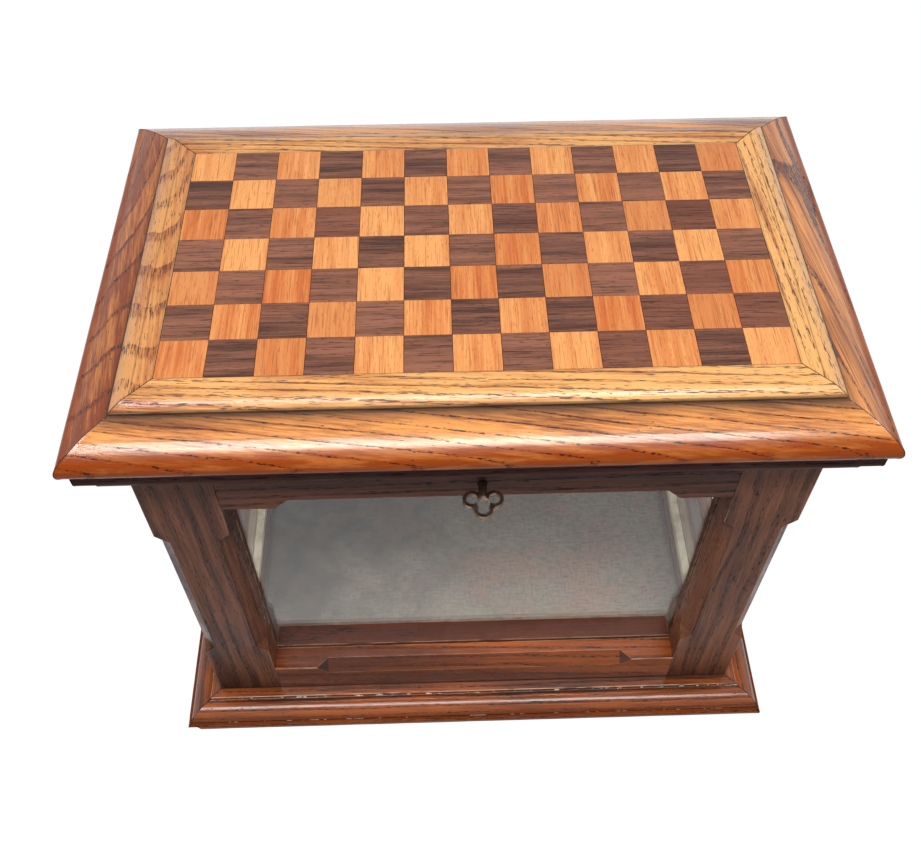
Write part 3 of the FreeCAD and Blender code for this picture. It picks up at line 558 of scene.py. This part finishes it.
# boards lighter (below 0) or darker (above 0) than their neighbours, from one end to the other;
# partly real tone, and partly painted shade: the left moulding, the front left post and the left ends of the
# front lid boards darker, the right border lighter, as if lit from the right
boardTonesAndShade = {
    "lid_border_front": (0.18, -0.32), "lid_border_right": (-0.50, -0.44), "lid_border_back": (0.14, 0.08),
    "lid_border_left": (-0.10, -0.04), "lid_moulding_front": (0.16, -0.12), "lid_moulding_left": (0.52, 0.18),
    "lid_moulding_back": (0.02, 0.02), "lid_moulding_right": (-0.04, 0.06), "lid_panel": (0.35, 0.35),
    "post_front_left": (0.20, 0.14), "post_front_right": (-0.12, -0.20),
    **{f"bottom_rail_{side}": (0.22, 0.12) for side in sides},
}
# boards with redder varnish than their neighbours
boardAmber = {
    "lid_moulding_left": 0.29, "lid_border_left": 0.30, "lid_border_back": 0.16, "lid_border_right": 0.08,
    **{f"bottom_rail_{side}": 0.28 for side in sides},
}
# boards cut from the heart of the tree: how deep the pith lies under the middle, and how steeply it rakes
heartBoards = {
    "lid_moulding_left": (0.030, 9), "lid_border_left": (0.026, 9), "lid_moulding_right": (0.034, 2.5),
    "base_back": (0.03, 6), "top_rail_back": (0.04, 5),
}


def grainFrame(node, look, seed):
    wood = oakLooks[look["finish"]]
    draw = random.Random(seed)
    run, drift = boardWear["grainRun"], boardWear["grainDrift"]
    shift = Vector((draw.uniform(0, run), draw.uniform(-drift, drift), draw.uniform(-drift, drift)))
    heartShift = shift
    turn = Euler((0, 0, 0)).to_matrix()
    if node in heartBoards:
        deepness, rake = heartBoards[node]
        slant = Euler([math.radians(angle) for angle in wood["tilt"]]).to_matrix()
        heartShift = slant.inverted() @ (Vector((shift.x, 0, deepness)) - Vector(wood["pith"]))
        turn = Euler((0, math.radians(rake), 0)).to_matrix()
    low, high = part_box(node)
    return (low + high) / 2, shift, turn, heartShift


# bands beside a mating part are darkened: dirt in the joints, and painted shade in the corners and under
# overhangs
def matePlane(node, grime):
    side = node.rsplit("_", 1)[-1]
    direction = {"up": Vector((0, 0, 1)), "down": Vector((0, 0, -1))}.get(grime["facing"]) or outward[side]
    mate = grime["against"] if grime["against"] in nodes else f"{grime['against']}_{side}"
    return direction, max(direction.dot(corner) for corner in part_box(mate))


def darkeningAt(away, steps):
    if away <= steps[0][0]:
        return steps[0][1]
    for (near, more), (far, less) in zip(steps, steps[1:]):
        if away <= far:
            return more + (less - more) * (away - near) / (far - near)
    return 0.0


def easeEdge(bm, direction, start, easing):
    for vert in bm.verts:
        share = (direction.dot(vert.co) - start - easing["from"]) / easing["wide"]
        if share > 0 and vert.co.z > easing["above"]:
            vert.co.z -= easing["drop"] * min(1.0, share) ** 2


def crownAt(away, crown, wide):
    past = max(0.0, away - crown["from"])
    bend = min(past, wide)
    return -crown["slope"] * (bend * bend / (2 * wide) + past - bend)


def chipCorner(bm, chip):
    corner = Vector(chip["corner"])
    even, uneven = chip["ragged"]
    for vert in bm.verts:
        along = (vert.co - corner).length
        if along < chip["reach"] and vert.co.z < chip["below"]:
            share = 1 - along / chip["reach"]
            ragged = even + uneven * noise.noise(vert.co * chip["raggedScale"])
            vert.co += Vector(chip["push"]) * min(1.0, share * chip["steep"]) * ragged


# darkens chamfer stops and chamfer faces: painted shade in the stop hollows and on the chamfers
def shadeChamfers(bm, axis, stopAmount, faceAmount):
    layer = bm.faces.layers.float.new("chamferShade")
    stopLeast, stopMost = boardWear["stopSlant"]
    level, square = boardWear["chamferSlant"]
    bm.normal_update()
    for face in bm.faces:
        along = abs(face.normal[axis])
        if stopLeast < along < stopMost:
            face[layer] = stopAmount
        elif along < level and max(abs(value) for value in face.normal) < square:
            if face.calc_area() > boardWear["chamferArea"]:
                face[layer] = faceAmount


def clampShare(value):
    return min(1.0, max(0.0, value))


def dressBoard(node, look, seed):
    axis, across, deep = grainAxes(node)
    bm = mergedCopy(node)
    low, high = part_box(node)
    roundArrises(bm, look["round"], look["segments"], lambda face: isEnd(face, axis))
    if "chamferShade" in look:
        shadeChamfers(bm, axis, *look["chamferShade"])
    cutStations(bm, axis, low[axis], high[axis], look["step"])
    ends = {}
    for face in bm.faces:
        if isEnd(face, axis):
            spot = face.calc_center_median()
            key = tuple(round(value, 3) for value in (*face.normal, face.normal.dot(spot)))
            ends[key] = (face.normal.copy(), spot)
    for normal, spot in ends.values():
        for reach in boardWear["dirtReach"]:
            cutAcross(bm, spot - normal * reach, normal)
    grime, crown, amberTo = (look.get(name) for name in ("grime", "crown", "amberTo"))
    onFront = node.endswith("front")
    if grime:
        direction, start = matePlane(node, grime)
        steps = grime["front"] if onFront and "front" in grime else grime["steps"]
        for reach, _ in steps:
            cutAcross(bm, direction * (start + reach), direction)
    if crown:
        for index in range(crown["cuts"]):
            cutAcross(bm, direction * (start + crown["from"] + crown["step"] * index), direction)
    floats, vectors = bm.verts.layers.float, bm.verts.layers.float_vector
    dirtShadeLayer, crownLayer = floats.new("jointDirt"), floats.new("crown")
    grainLayer, ringLayer = vectors.new("grain"), vectors.new("rings")
    amberLayer, toneLayer = floats.new("amber"), floats.new("tone")
    bm.normal_update()
    pull = {}
    for face in bm.faces:
        if isEnd(face, axis):
            for vert in face.verts:
                vert[dirtShadeLayer] = 1.0
                pull[vert] = face.normal.copy()
    centre, shift, turn, heartShift = grainFrame(node, look, seed)
    firstTone, lastTone = boardTonesAndShade.get(node, (0.0, 0.0))
    for vert in bm.verts:
        place = vert.co
        local = place - centre
        local = Vector((local[axis], local[across], local[deep]))
        vert[grainLayer] = local + shift
        vert[ringLayer] = turn @ local + heartShift
        vert[amberLayer] = boardAmber.get(node, 0.0)
        share = (place[axis] - low[axis]) / (high[axis] - low[axis])
        vert[toneLayer] = firstTone + (lastTone - firstTone) * share
        if grime:
            away = direction.dot(place) - start
            vert[dirtShadeLayer] = max(vert[dirtShadeLayer], darkeningAt(away, steps))
        # amber rises towards the lower edge of the moulding and base profiles: varnish pooled there, and
        # partly painted shade on the downturned noses
        if amberTo:
            rise = (place.z - low.z) / (high.z - low.z)
            near, far = look["amberOut"]
            pooledAmberAndShade = clampShare(1 - rise / amberTo) * clampShare((away - near) / (far - near))
            vert[amberLayer] = max(vert[amberLayer], pooledAmberAndShade)
        if crown:
            vert[crownLayer] = crownAt(away, crown, crown["wide" if onFront else "crisp"])
    if "easing" in look:
        easeEdge(bm, direction, start, look["easing"])
    for vert in bm.verts:
        if vert in pull:
            vert.co -= pull[vert] * boardWear["jointGap"]
        else:
            spot = vert.co * boardWear["swayScale"] + shift * boardWear["swayShift"]
            swell = 0.5 + 0.5 * noise.noise(spot)
            vert.co -= vert.normal * look["sway"] * swell
    if "chip" in look:
        chipCorner(bm, look["chip"])
    finishedCopy(node, bm, look)


plainBoard = {"segments": 2, "step": 12 * mm, "sway": 0.12 * mm}
rimBoard = {**plainBoard, "finish": "rimOak", "slot": "rim_oak", "round": 0.4 * mm}
insideBoard = {"finish": "floorWood", "segments": 1, "sway": 0.0}
boards = {
    "base": {
        **plainBoard, "finish": "baseOak", "slot": "base_oak", "round": 0.55 * mm, "step": 9 * mm,
        "sway": 0.22 * mm, "amberTo": 0.9, "amberOut": (16 * mm, 20 * mm),
        "grime": {"facing": "out", "against": "bottom_rail",
                  "steps": ((0, 0.95), (0.6 * mm, 0.5), (3 * mm, 0))},
        "chip": {"corner": (-0.2125, -0.1363, 0), "reach": 9 * mm, "below": 4 * mm, "steep": 1.6,
                 "push": (0.002, 0.0016, 0.0028), "ragged": (0.7, 0.5), "raggedScale": 400},
    },
    # the bottom rails are case oak like the posts, but take the base's lighter, redder finish: painted light
    # below the lid's shade
    "bottom_rail": {
        **plainBoard, "finish": "baseOak", "slot": "case_oak", "round": 0.6 * mm, "chamferShade": (0.85, 0.28),
        "grime": {"facing": "up", "against": "base_front",
                  "steps": ((0, 0.95), (0.8 * mm, 0.5), (6 * mm, 0))},
    },
    "top_rail": {
        **plainBoard, "finish": "railOak", "slot": "case_oak", "round": 0.5 * mm,
        # a band darkened under the cornice: painted shadow of the lid
        "grime": {"facing": "down", "against": "cornice_front",
                  "steps": ((0, 0.95), (1.2 * mm, 0.5), (9 * mm, 0))},
    },
    "cornice": rimBoard,
    "lid_rim": rimBoard,
    "lid_moulding": {
        **plainBoard, "finish": "mouldingOak", "slot": "moulding_oak", "round": 0.5 * mm, "step": 8 * mm,
        "sway": 0.22 * mm, "amberTo": 1.35, "amberOut": (16 * mm, 21 * mm),
        "grime": {"facing": "out", "against": "lid_border",
                  "steps": ((0, 1.0), (0.9 * mm, 0.9), (1.6 * mm, 0.25), (4 * mm, 0)),
                  # front: a wide band darkened below the border's step, a painted shadow; the other sides get
                  # a thin dark line
                  "front": ((0, 1.0), (1.4 * mm, 0.95), (2.4 * mm, 0.7), (4 * mm, 0.5), (6.5 * mm, 0.24),
                            (10 * mm, 0))},
    },
    "lid_border": {
        **plainBoard, "finish": "borderOak", "slot": "border_oak", "round": 0.4 * mm, "step": 9 * mm,
        "easing": {"from": 12.5 * mm, "wide": 7.5 * mm, "drop": 0.9 * mm, "above": 0.3450},
        "crown": {"from": 9.5 * mm, "wide": 3 * mm, "crisp": 1.5 * mm, "slope": 0.2, "step": 0.75 * mm,
                  "cuts": 14},
        "grime": {"facing": "out", "against": "light_squares",
                  "steps": ((0, 0.95), (0.35 * mm, 0.3), (1.6 * mm, 0), (9.6 * mm, 0), (10.3 * mm, 0.6),
                            (11 * mm, 0)),
                  # front: the border's outer edge darkened, dirt and painted shade at its foot
                  "front": ((0, 0.95), (0.35 * mm, 0.3), (1.6 * mm, 0), (18.9 * mm, 0), (19.5 * mm, 0.8),
                            (25 * mm, 0.95))},
    },
    "post": {
        **plainBoard, "finish": "postOak", "slot": "case_oak", "round": 0.6 * mm, "step": 10 * mm,
        "sway": 0.2 * mm, "chamferShade": (0.3, 0.12),
        "grime": {"facing": "up", "against": "base_front",
                  "steps": ((0, 0.95), (1 * mm, 0.6), (13 * mm, 0.35), (34 * mm, 0))},
    },
    "panel": {**insideBoard, "slot": "moulding_oak", "round": 0.3 * mm, "step": 40 * mm},
    "floor": {**insideBoard, "slot": "floor_wood", "round": 0.4 * mm, "step": 30 * mm},
}
boardNodes = {
    "panel": ("lid_panel",), "floor": ("floor_board",), "post": tuple(f"post_{corner}" for corner in corners),
}
seed = 0
for group, look in boards.items():
    for node in boardNodes.get(group, tuple(f"{group}_{side}" for side in sides)):
        seed += 1
        dressBoard(node, look, seed)
print("boards dressed:", seed)


# Metal fittings and painted beads, softened the same way

fittings = {
    "lock_case": {"finish": "lockBrass", "slot": "lock_brass", "round": 0.25 * mm},
    "lock_bolt": {"finish": "lockBrass", "slot": "lock_brass", "round": 0.2 * mm},
    "link_plate": {"finish": "lockBrass", "slot": "lock_brass", "round": 0.2 * mm},
    "key": {"finish": "keyIron", "slot": "key_iron", "round": 1.1 * mm, "segments": 3},
}
for hand in ("left", "right"):
    for part in ("case_hinge_leaf", "lid_hinge_leaf", "hinge_pin"):
        fittings[f"{part}_{hand}"] = {"finish": "hingeBrass", "slot": "hinge_brass", "round": 0.2 * mm}
for side in sides:
    # the front beads take the dark rail oak, darkened further by their tone, as painted shade behind the
    # front glass; the others are cream paint
    fittings[f"glass_beads_{side}"] = {
        "finish": "railOak" if side == "front" else "beadPaint", "slot": "bead_paint", "round": 0.5 * mm,
        "tone": 0.8}


def dressFitting(node, look):
    bm = mergedCopy(node)
    roundArrises(bm, look["round"], look.get("segments", 2))
    grainLayer = bm.verts.layers.float_vector.new("grain")
    ringLayer = bm.verts.layers.float_vector.new("rings")
    toneLayer = bm.verts.layers.float.new("tone")
    for vert in bm.verts:
        vert[grainLayer] = vert[ringLayer] = vert.co
        vert[toneLayer] = look.get("tone", 0.0)
    finishedCopy(node, bm, look)


for node, look in fittings.items():
    dressFitting(node, look)
print("fittings dressed:", len(fittings))


# Geometry Nodes trees

def newTree(name, sockets):
    tree = bpy.data.node_groups.new(name, "GeometryNodeTree")
    tree.interface.new_socket("Geometry", in_out="OUTPUT", socket_type="NodeSocketGeometry")
    ids = {}
    for label, kind in sockets.items():
        socket = tree.interface.new_socket(label, in_out="INPUT", socket_type=f"NodeSocket{kind}")
        ids[label] = socket.identifier
    given = tree.nodes.new("NodeGroupInput").outputs
    result = tree.nodes.new("NodeGroupOutput").inputs[0]
    return tree, ids, given, result


def endTree(tree, geometry, finish, result):
    dressed = addNode(tree, "GeometryNodeSetMaterial", {}, {"Geometry": geometry, "Material": finish})
    tree.links.new(dressed.outputs[0], result)


def randomValue(tree, low, high, seedSocket, vector=False):
    first = 0 if vector else 2
    node = addNode(tree, "FunctionNodeRandomValue", {"data_type": "FLOAT_VECTOR" if vector else "FLOAT"},
                   {first: low, first + 1: high, "Seed": seedSocket})
    return node.outputs[0 if vector else 1]


def makePlain(piece, modifier):
    graph = bpy.context.evaluated_depsgraph_get()
    mesh = bpy.data.meshes.new_from_object(
        piece.evaluated_get(graph), preserve_all_data_layers=True, depsgraph=graph)
    piece.modifiers.remove(modifier)
    piece.data = mesh


def runTree(name, tree, ids, values):
    holder = bpy.data.objects.new(name, bpy.data.meshes.new(name))
    scene.collection.objects.link(holder)
    modifier = holder.modifiers.new("build", "NODES")
    modifier.node_group = tree
    for label, value in values.items():
        modifier[ids[label]] = value
    makePlain(holder, modifier)
    return holder


# Chequered field: bevelled squares on a grid, each with its own tone, tilt and height

chequer = {
    "columns": 13, "rows": 7, "gap": 0.22 * mm, "round": 0.22 * mm, "lift": 0.04 * mm,
    "tilt": math.radians(0.08),
}
lightBox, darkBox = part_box("light_squares"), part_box("dark_squares")
fieldLow = Vector([min(pair) for pair in zip(lightBox[0], darkBox[0])])
fieldHigh = Vector([max(pair) for pair in zip(lightBox[1], darkBox[1])])
squareSide = (fieldHigh.x - fieldLow.x) / chequer["columns"]


def squareTemplate():
    bm = bmesh.new()
    bmesh.ops.create_cube(bm, size=1)
    width = squareSide - chequer["gap"]
    thick = fieldHigh.z - fieldLow.z - chequer["lift"]
    bmesh.ops.scale(bm, vec=(width, width, thick), verts=bm.verts)
    bmesh.ops.translate(bm, vec=(0, 0, thick / 2), verts=bm.verts)
    upper = [edge for edge in bm.edges if min(vert.co.z for vert in edge.verts) > 0]
    upright = [edge for edge in bm.edges if abs(edge.verts[0].co.z - edge.verts[1].co.z) > thick / 2]
    bmesh.ops.bevel(
        bm, geom=upper + upright, offset=chequer["round"], segments=2, profile=0.5, affect="EDGES")
    return meshObject("squareTemplate", bm)


def chequerTree():
    tree, ids, given, result = newTree("chequerField", {
        "Square": "Object", "Columns": "Int", "Rows": "Int", "Side": "Float", "Level": "Float",
        "Colour": "Int", "Grain Turn": "Float", "Lift": "Float", "Tilt": "Float", "Seed": "Int",
        "Finish": "Material",
    })
    spanX, spanY = (times(tree, calc(tree, "SUBTRACT", given[count], 1), given["Side"])
                    for count in ("Columns", "Rows"))
    grid = addNode(tree, "GeometryNodeMeshGrid", {}, {
        "Size X": spanX, "Size Y": spanY, "Vertices X": given["Columns"], "Vertices Y": given["Rows"]})
    position = addNode(tree, "GeometryNodeInputPosition").outputs[0]
    apart = addNode(tree, "ShaderNodeSeparateXYZ", {}, {"Vector": position}).outputs
    fromLeft, fromFront = (
        calc(tree, "DIVIDE", calc(tree, "MULTIPLY_ADD", span, 0.5, apart[axis]), given["Side"])
        for span, axis in ((spanX, "X"), (spanY, "Y")))
    parity = calc(tree, "MODULO", calc(tree, "ROUND", calc(tree, "ADD", fromLeft, fromFront)), 2)
    wanted = calc(tree, "COMPARE", parity, given["Colour"], 0.1)
    square = addNode(tree, "GeometryNodeObjectInfo", {}, {"Object": given["Square"]})
    tilts = combine(tree, X=given["Tilt"], Y=given["Tilt"], Z=given["Tilt"])
    tiltLow = vectorCalc(tree, "MULTIPLY", tilts, (-1, -1, -1))
    placed = addNode(tree, "GeometryNodeInstanceOnPoints", {}, {
        "Points": grid.outputs["Mesh"], "Selection": wanted, "Instance": square.outputs["Geometry"],
        "Rotation": randomValue(tree, tiltLow, tilts, given["Seed"], vector=True)})
    toned = addNode(tree, "GeometryNodeStoreNamedAttribute", {"data_type": "FLOAT", "domain": "INSTANCE"}, {
        "Geometry": placed.outputs[0], "Name": "tile", "Value": randomValue(tree, 0.0, 1.0, given["Seed"])})
    height = calc(tree, "ADD", given["Level"],
                  randomValue(tree, 0.0, given["Lift"], calc(tree, "ADD", given["Seed"], 1)))
    raised = addNode(tree, "GeometryNodeTranslateInstances", {}, {
        "Instances": toned.outputs[0], "Local Space": False, "Translation": combine(tree, Z=height)})
    whole = addNode(tree, "GeometryNodeRealizeInstances", {}, {"Geometry": raised.outputs[0]})
    tile = addNode(tree, "GeometryNodeInputNamedAttribute", {"data_type": "FLOAT"}, {"Name": "tile"})
    tile = tile.outputs[0]
    apartX, apartY = (times(tree, tile, reach) for reach in (5.0, 3.0))
    along = addNode(tree, "ShaderNodeVectorRotate", {"rotation_type": "Z_AXIS"}, {
        "Vector": position, "Angle": given["Grain Turn"]})
    ownGrain = vectorCalc(tree, "ADD", along.outputs[0], combine(tree, X=apartX, Y=apartY, Z=tile))
    grained = addNode(tree, "GeometryNodeStoreNamedAttribute", {
        "data_type": "FLOAT_VECTOR", "domain": "POINT"}, {
        "Geometry": whole.outputs[0], "Name": "grain", "Value": ownGrain})
    endTree(tree, grained.outputs[0], given["Finish"], result)
    return tree, ids


squareShape = squareTemplate()
fieldTree, fieldIds = chequerTree()
squareSets = {
    "light_squares": {
        "colour": 0, "turn": math.pi / 2, "seed": 4, "finish": "lightInlay", "slot": "light_inlay"},
    "dark_squares": {
        "colour": 1, "turn": 0.0, "seed": 9, "finish": "darkInlay", "slot": "dark_inlay"},
}
for node, look in squareSets.items():
    piece = runTree(f"{node}_inlaid", fieldTree, fieldIds, {
        "Square": squareShape, "Columns": chequer["columns"], "Rows": chequer["rows"], "Side": squareSide,
        "Level": fieldLow.z, "Colour": look["colour"], "Grain Turn": look["turn"], "Lift": chequer["lift"],
        "Tilt": chequer["tilt"], "Seed": look["seed"], "Finish": finishes[look["finish"]]})
    finishPiece(piece, "lid", node)
bpy.data.objects.remove(squareShape)
print("squares laid")


# Slotted countersunk screws on the centres of the frame's screws

screw = {
    "head": 2.35 * mm, "shank": 1.15 * mm, "length": 9 * mm, "sink": 1.5 * mm, "dome": 0.12 * mm,
    "domeFlat": 0.55, "point": 1.2 * mm, "tip": 0.2 * mm, "sides": 20,
    "slotWide": 0.65 * mm, "slotDeep": 0.7 * mm, "sharpAngle": 30,
}


def screwTemplate():
    bm = bmesh.new()
    head, shank, dome, length = (screw[name] for name in ("head", "shank", "dome", "length"))
    rings = [(head * screw["domeFlat"], 0.0), (head, -dome), (head, -dome * 2), (shank, -screw["sink"]),
             (shank, screw["point"] - length), (screw["tip"], -length)]
    loops = []
    for radius, level in rings:
        loop = []
        for index in range(screw["sides"]):
            angle = 2 * math.pi * (index + 0.5) / screw["sides"]
            loop.append(bm.verts.new((radius * math.cos(angle), radius * math.sin(angle), level)))
        loops.append(loop)
    for upper, lower in zip(loops, loops[1:]):
        for index in range(screw["sides"]):
            after = (index + 1) % screw["sides"]
            bm.faces.new((upper[index], lower[index], lower[after], upper[after]))
    bm.faces.new(loops[0])
    bm.faces.new(loops[-1][::-1])
    bmesh.ops.recalc_face_normals(bm, faces=bm.faces)
    body = meshObject("screwTemplate", bm)
    cutter = bmesh.new()
    bmesh.ops.create_cube(cutter, size=1)
    bmesh.ops.scale(cutter, vec=(head * 3, screw["slotWide"], screw["slotDeep"] * 2), verts=cutter.verts)
    slot = meshObject("slotTemplate", cutter)
    cut = body.modifiers.new("slot", "BOOLEAN")
    cut.object = slot
    cut.operation = "DIFFERENCE"
    cut.solver = "EXACT"
    makePlain(body, cut)
    bpy.data.objects.remove(slot)
    return body


def screwTree():
    tree, ids, given, result = newTree("slottedScrews", {
        "Centres": "Object", "Screw": "Object", "Flip": "Float", "Seed": "Int", "Finish": "Material"})
    centres = addNode(tree, "GeometryNodeObjectInfo", {}, {"Object": given["Centres"]})
    shape = addNode(tree, "GeometryNodeObjectInfo", {}, {"Object": given["Screw"]})
    turn = combine(tree, X=given["Flip"], Z=randomValue(tree, 0.0, math.pi, given["Seed"]))
    placed = addNode(tree, "GeometryNodeInstanceOnPoints", {}, {
        "Points": centres.outputs["Geometry"], "Instance": shape.outputs["Geometry"], "Rotation": turn})
    whole = addNode(tree, "GeometryNodeRealizeInstances", {}, {"Geometry": placed.outputs[0]})
    endTree(tree, whole.outputs[0], given["Finish"], result)
    return tree, ids


def screwCentres(node):
    bm = weldedMesh(node)
    left = set(bm.verts)
    centres = []
    while left:
        group = [left.pop()]
        for vert in group:
            for edge in vert.link_edges:
                other = edge.other_vert(vert)
                if other in left:
                    left.remove(other)
                    group.append(other)
        middle = sum((vert.co for vert in group), Vector()) / len(group)
        centres.append((middle.x, middle.y))
    bm.free()
    return sorted(centres)


screwShape = screwTemplate()
screwsTree, screwIds = screwTree()
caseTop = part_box("top_rail_front")[1].z
screwSets = {
    "lock_screws": {"flip": 0.0, "seed": 2}, "case_hinge_screws": {"flip": 0.0, "seed": 5},
    "link_plate_screws": {"flip": math.pi, "seed": 7}, "lid_hinge_screws": {"flip": math.pi, "seed": 11},
}
for node, look in screwSets.items():
    spots = bmesh.new()
    for x, y in screwCentres(node):
        spots.verts.new((x, y, caseTop))
    centreObject = meshObject(f"{node}_centres", spots)
    piece = runTree(f"{node}_slotted", screwsTree, screwIds, {
        "Centres": centreObject, "Screw": screwShape, "Flip": look["flip"], "Seed": look["seed"],
        "Finish": finishes["screwSteel"]})
    smoothShade(piece, screw["sharpAngle"])
    finishPiece(piece, bodyOf[node], node)
    bpy.data.objects.remove(centreObject)
bpy.data.objects.remove(screwShape)
print("screws set:", len(screwSets))


# Linen lining laid on the floor board, notched round the posts

lining = {"cell": 4 * mm, "thick": 0.5 * mm, "ripple": 0.35 * mm, "rippleScale": 26}


def dressLining():
    low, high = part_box("floor_lining")
    points = [vert.co for vert in nodes["floor_lining"].data.vertices]
    wideX, wideY = high.x, high.y
    shortX = min(abs(point.x) for point in points)
    shortY = min(abs(point.y) for point in points)

    def stations(short, wide):
        count = round(2 * short / lining["cell"])
        inner = [-short + 2 * short * index / count for index in range(count + 1)]
        steps = max(1, round((wide - short) / lining["cell"]))
        outer = [short + (wide - short) * (index + 1) / steps for index in range(steps)]
        return [-value for value in reversed(outer)] + inner + outer

    xs = stations(shortX, wideX)
    ys = stations(shortY, wideY)
    bm = bmesh.new()
    verts = {}

    def corner(i, j):
        if (i, j) not in verts:
            spot = Vector((xs[i], ys[j], low.z))
            rise = 0.5 + 0.5 * noise.noise(spot * lining["rippleScale"])
            verts[i, j] = bm.verts.new(spot + Vector((0, 0, lining["ripple"] * rise)))
        return verts[i, j]

    tiny = 0.01 * mm
    for i in range(len(xs) - 1):
        for j in range(len(ys) - 1):
            inX = max(abs(xs[i]), abs(xs[i + 1])) <= shortX + tiny
            inY = max(abs(ys[j]), abs(ys[j + 1])) <= shortY + tiny
            if inX or inY:
                bm.faces.new((corner(i, j), corner(i + 1, j), corner(i + 1, j + 1), corner(i, j + 1)))
    piece = meshObject("floor_lining_cloth", bm, finishes["liningCloth"])
    piece.data.polygons.foreach_set("use_smooth", [True] * len(piece.data.polygons))
    thicken = piece.modifiers.new("thick", "SOLIDIFY")
    thicken.thickness = lining["thick"]
    thicken.offset = 1
    finishPiece(piece, "case", "floor_lining")


dressLining()
for side in sides:
    pane = nodes[f"glass_{side}"]
    pane.data.materials.clear()
    pane.data.materials.append(finishes["glass"])
print("lining and glass done")


# Floor, light and camera

studio = {
    "floorSize": 8.0, "floorGrey": 0.45, "floorGlow": 0.94, "floorVeil": 0.12, "ambient": 0.17,
    "lamps": {
        "frontStrip": {
            "place": (-0.05, -0.68, 1.75), "aim": (0.0, -0.05, 0.33), "size": (1.4, 0.30), "power": 26.0},
    },
}


def seenDirectly(tree):
    rays = addNode(tree, "ShaderNodeLightPath").outputs
    seen = calc(tree, "MAXIMUM", rays["Is Camera Ray"], rays["Is Glossy Ray"])
    return calc(tree, "MAXIMUM", seen, rays["Is Transmission Ray"])


def makeFloor():
    material, tree, shader = newMaterial("paleFloor")
    tree.nodes.remove(shader)
    bounce = addNode(tree, "ShaderNodeBsdfDiffuse", {}, {"Color": (studio["floorGrey"],) * 3})
    glow = addNode(tree, "ShaderNodeEmission", {}, {"Color": (1, 1, 1), "Strength": studio["floorGlow"]})
    veil = addNode(tree, "ShaderNodeBsdfDiffuse", {}, {"Color": (studio["floorVeil"],) * 3})
    bright = addNode(tree, "ShaderNodeAddShader", {}, {0: glow.outputs[0], 1: veil.outputs[0]})
    mixSurfaces(tree, seenDirectly(tree), bounce, bright)
    bm = bmesh.new()
    bmesh.ops.create_grid(bm, x_segments=8, y_segments=8, size=studio["floorSize"] / 2)
    floor = meshObject("studioFloor", bm, material)


def makeWorld():
    world = bpy.data.worlds.new("studioWhite")
    world.use_nodes = True
    tree = world.node_tree
    back = tree.nodes["Background"]
    back.inputs["Color"].default_value = (1, 1, 1, 1)
    feed(tree, back.inputs["Strength"], between(tree, seenDirectly(tree), 0.0, 1.0, studio["ambient"], 1.0))
    scene.world = world


def makeLamp(name, look):
    lamp = bpy.data.lights.new(name, "AREA")
    lamp.shape = "RECTANGLE"
    lamp.size, lamp.size_y = look["size"]
    lamp.energy = look["power"]
    light = bpy.data.objects.new(name, lamp)
    light.location = look["place"]
    aim = Vector(look["aim"]) - light.location
    light.rotation_euler = aim.to_track_quat("-Z", "Y").to_euler()
    scene.collection.objects.link(light)


cameraLook = {
    "place": (-0.0190, -0.4332, 0.7549), "turn": (37.228, 0.06, -1.698), "lens": 40.97,
    "sensor": 36.0, "near": 0.01,
}


def makeCamera():
    data = bpy.data.cameras.new("photoCamera")
    data.lens = cameraLook["lens"]
    data.sensor_width = cameraLook["sensor"]
    data.clip_start = cameraLook["near"]
    camera = bpy.data.objects.new("photoCamera", data)
    camera.location = cameraLook["place"]
    camera.rotation_euler = Euler([math.radians(angle) for angle in cameraLook["turn"]])
    scene.collection.objects.link(camera)
    scene.camera = camera


makeFloor()
makeWorld()
for name, look in studio["lamps"].items():
    makeLamp(name, look)
makeCamera()
scene.view_settings.view_transform = "Standard"
print("stage set")
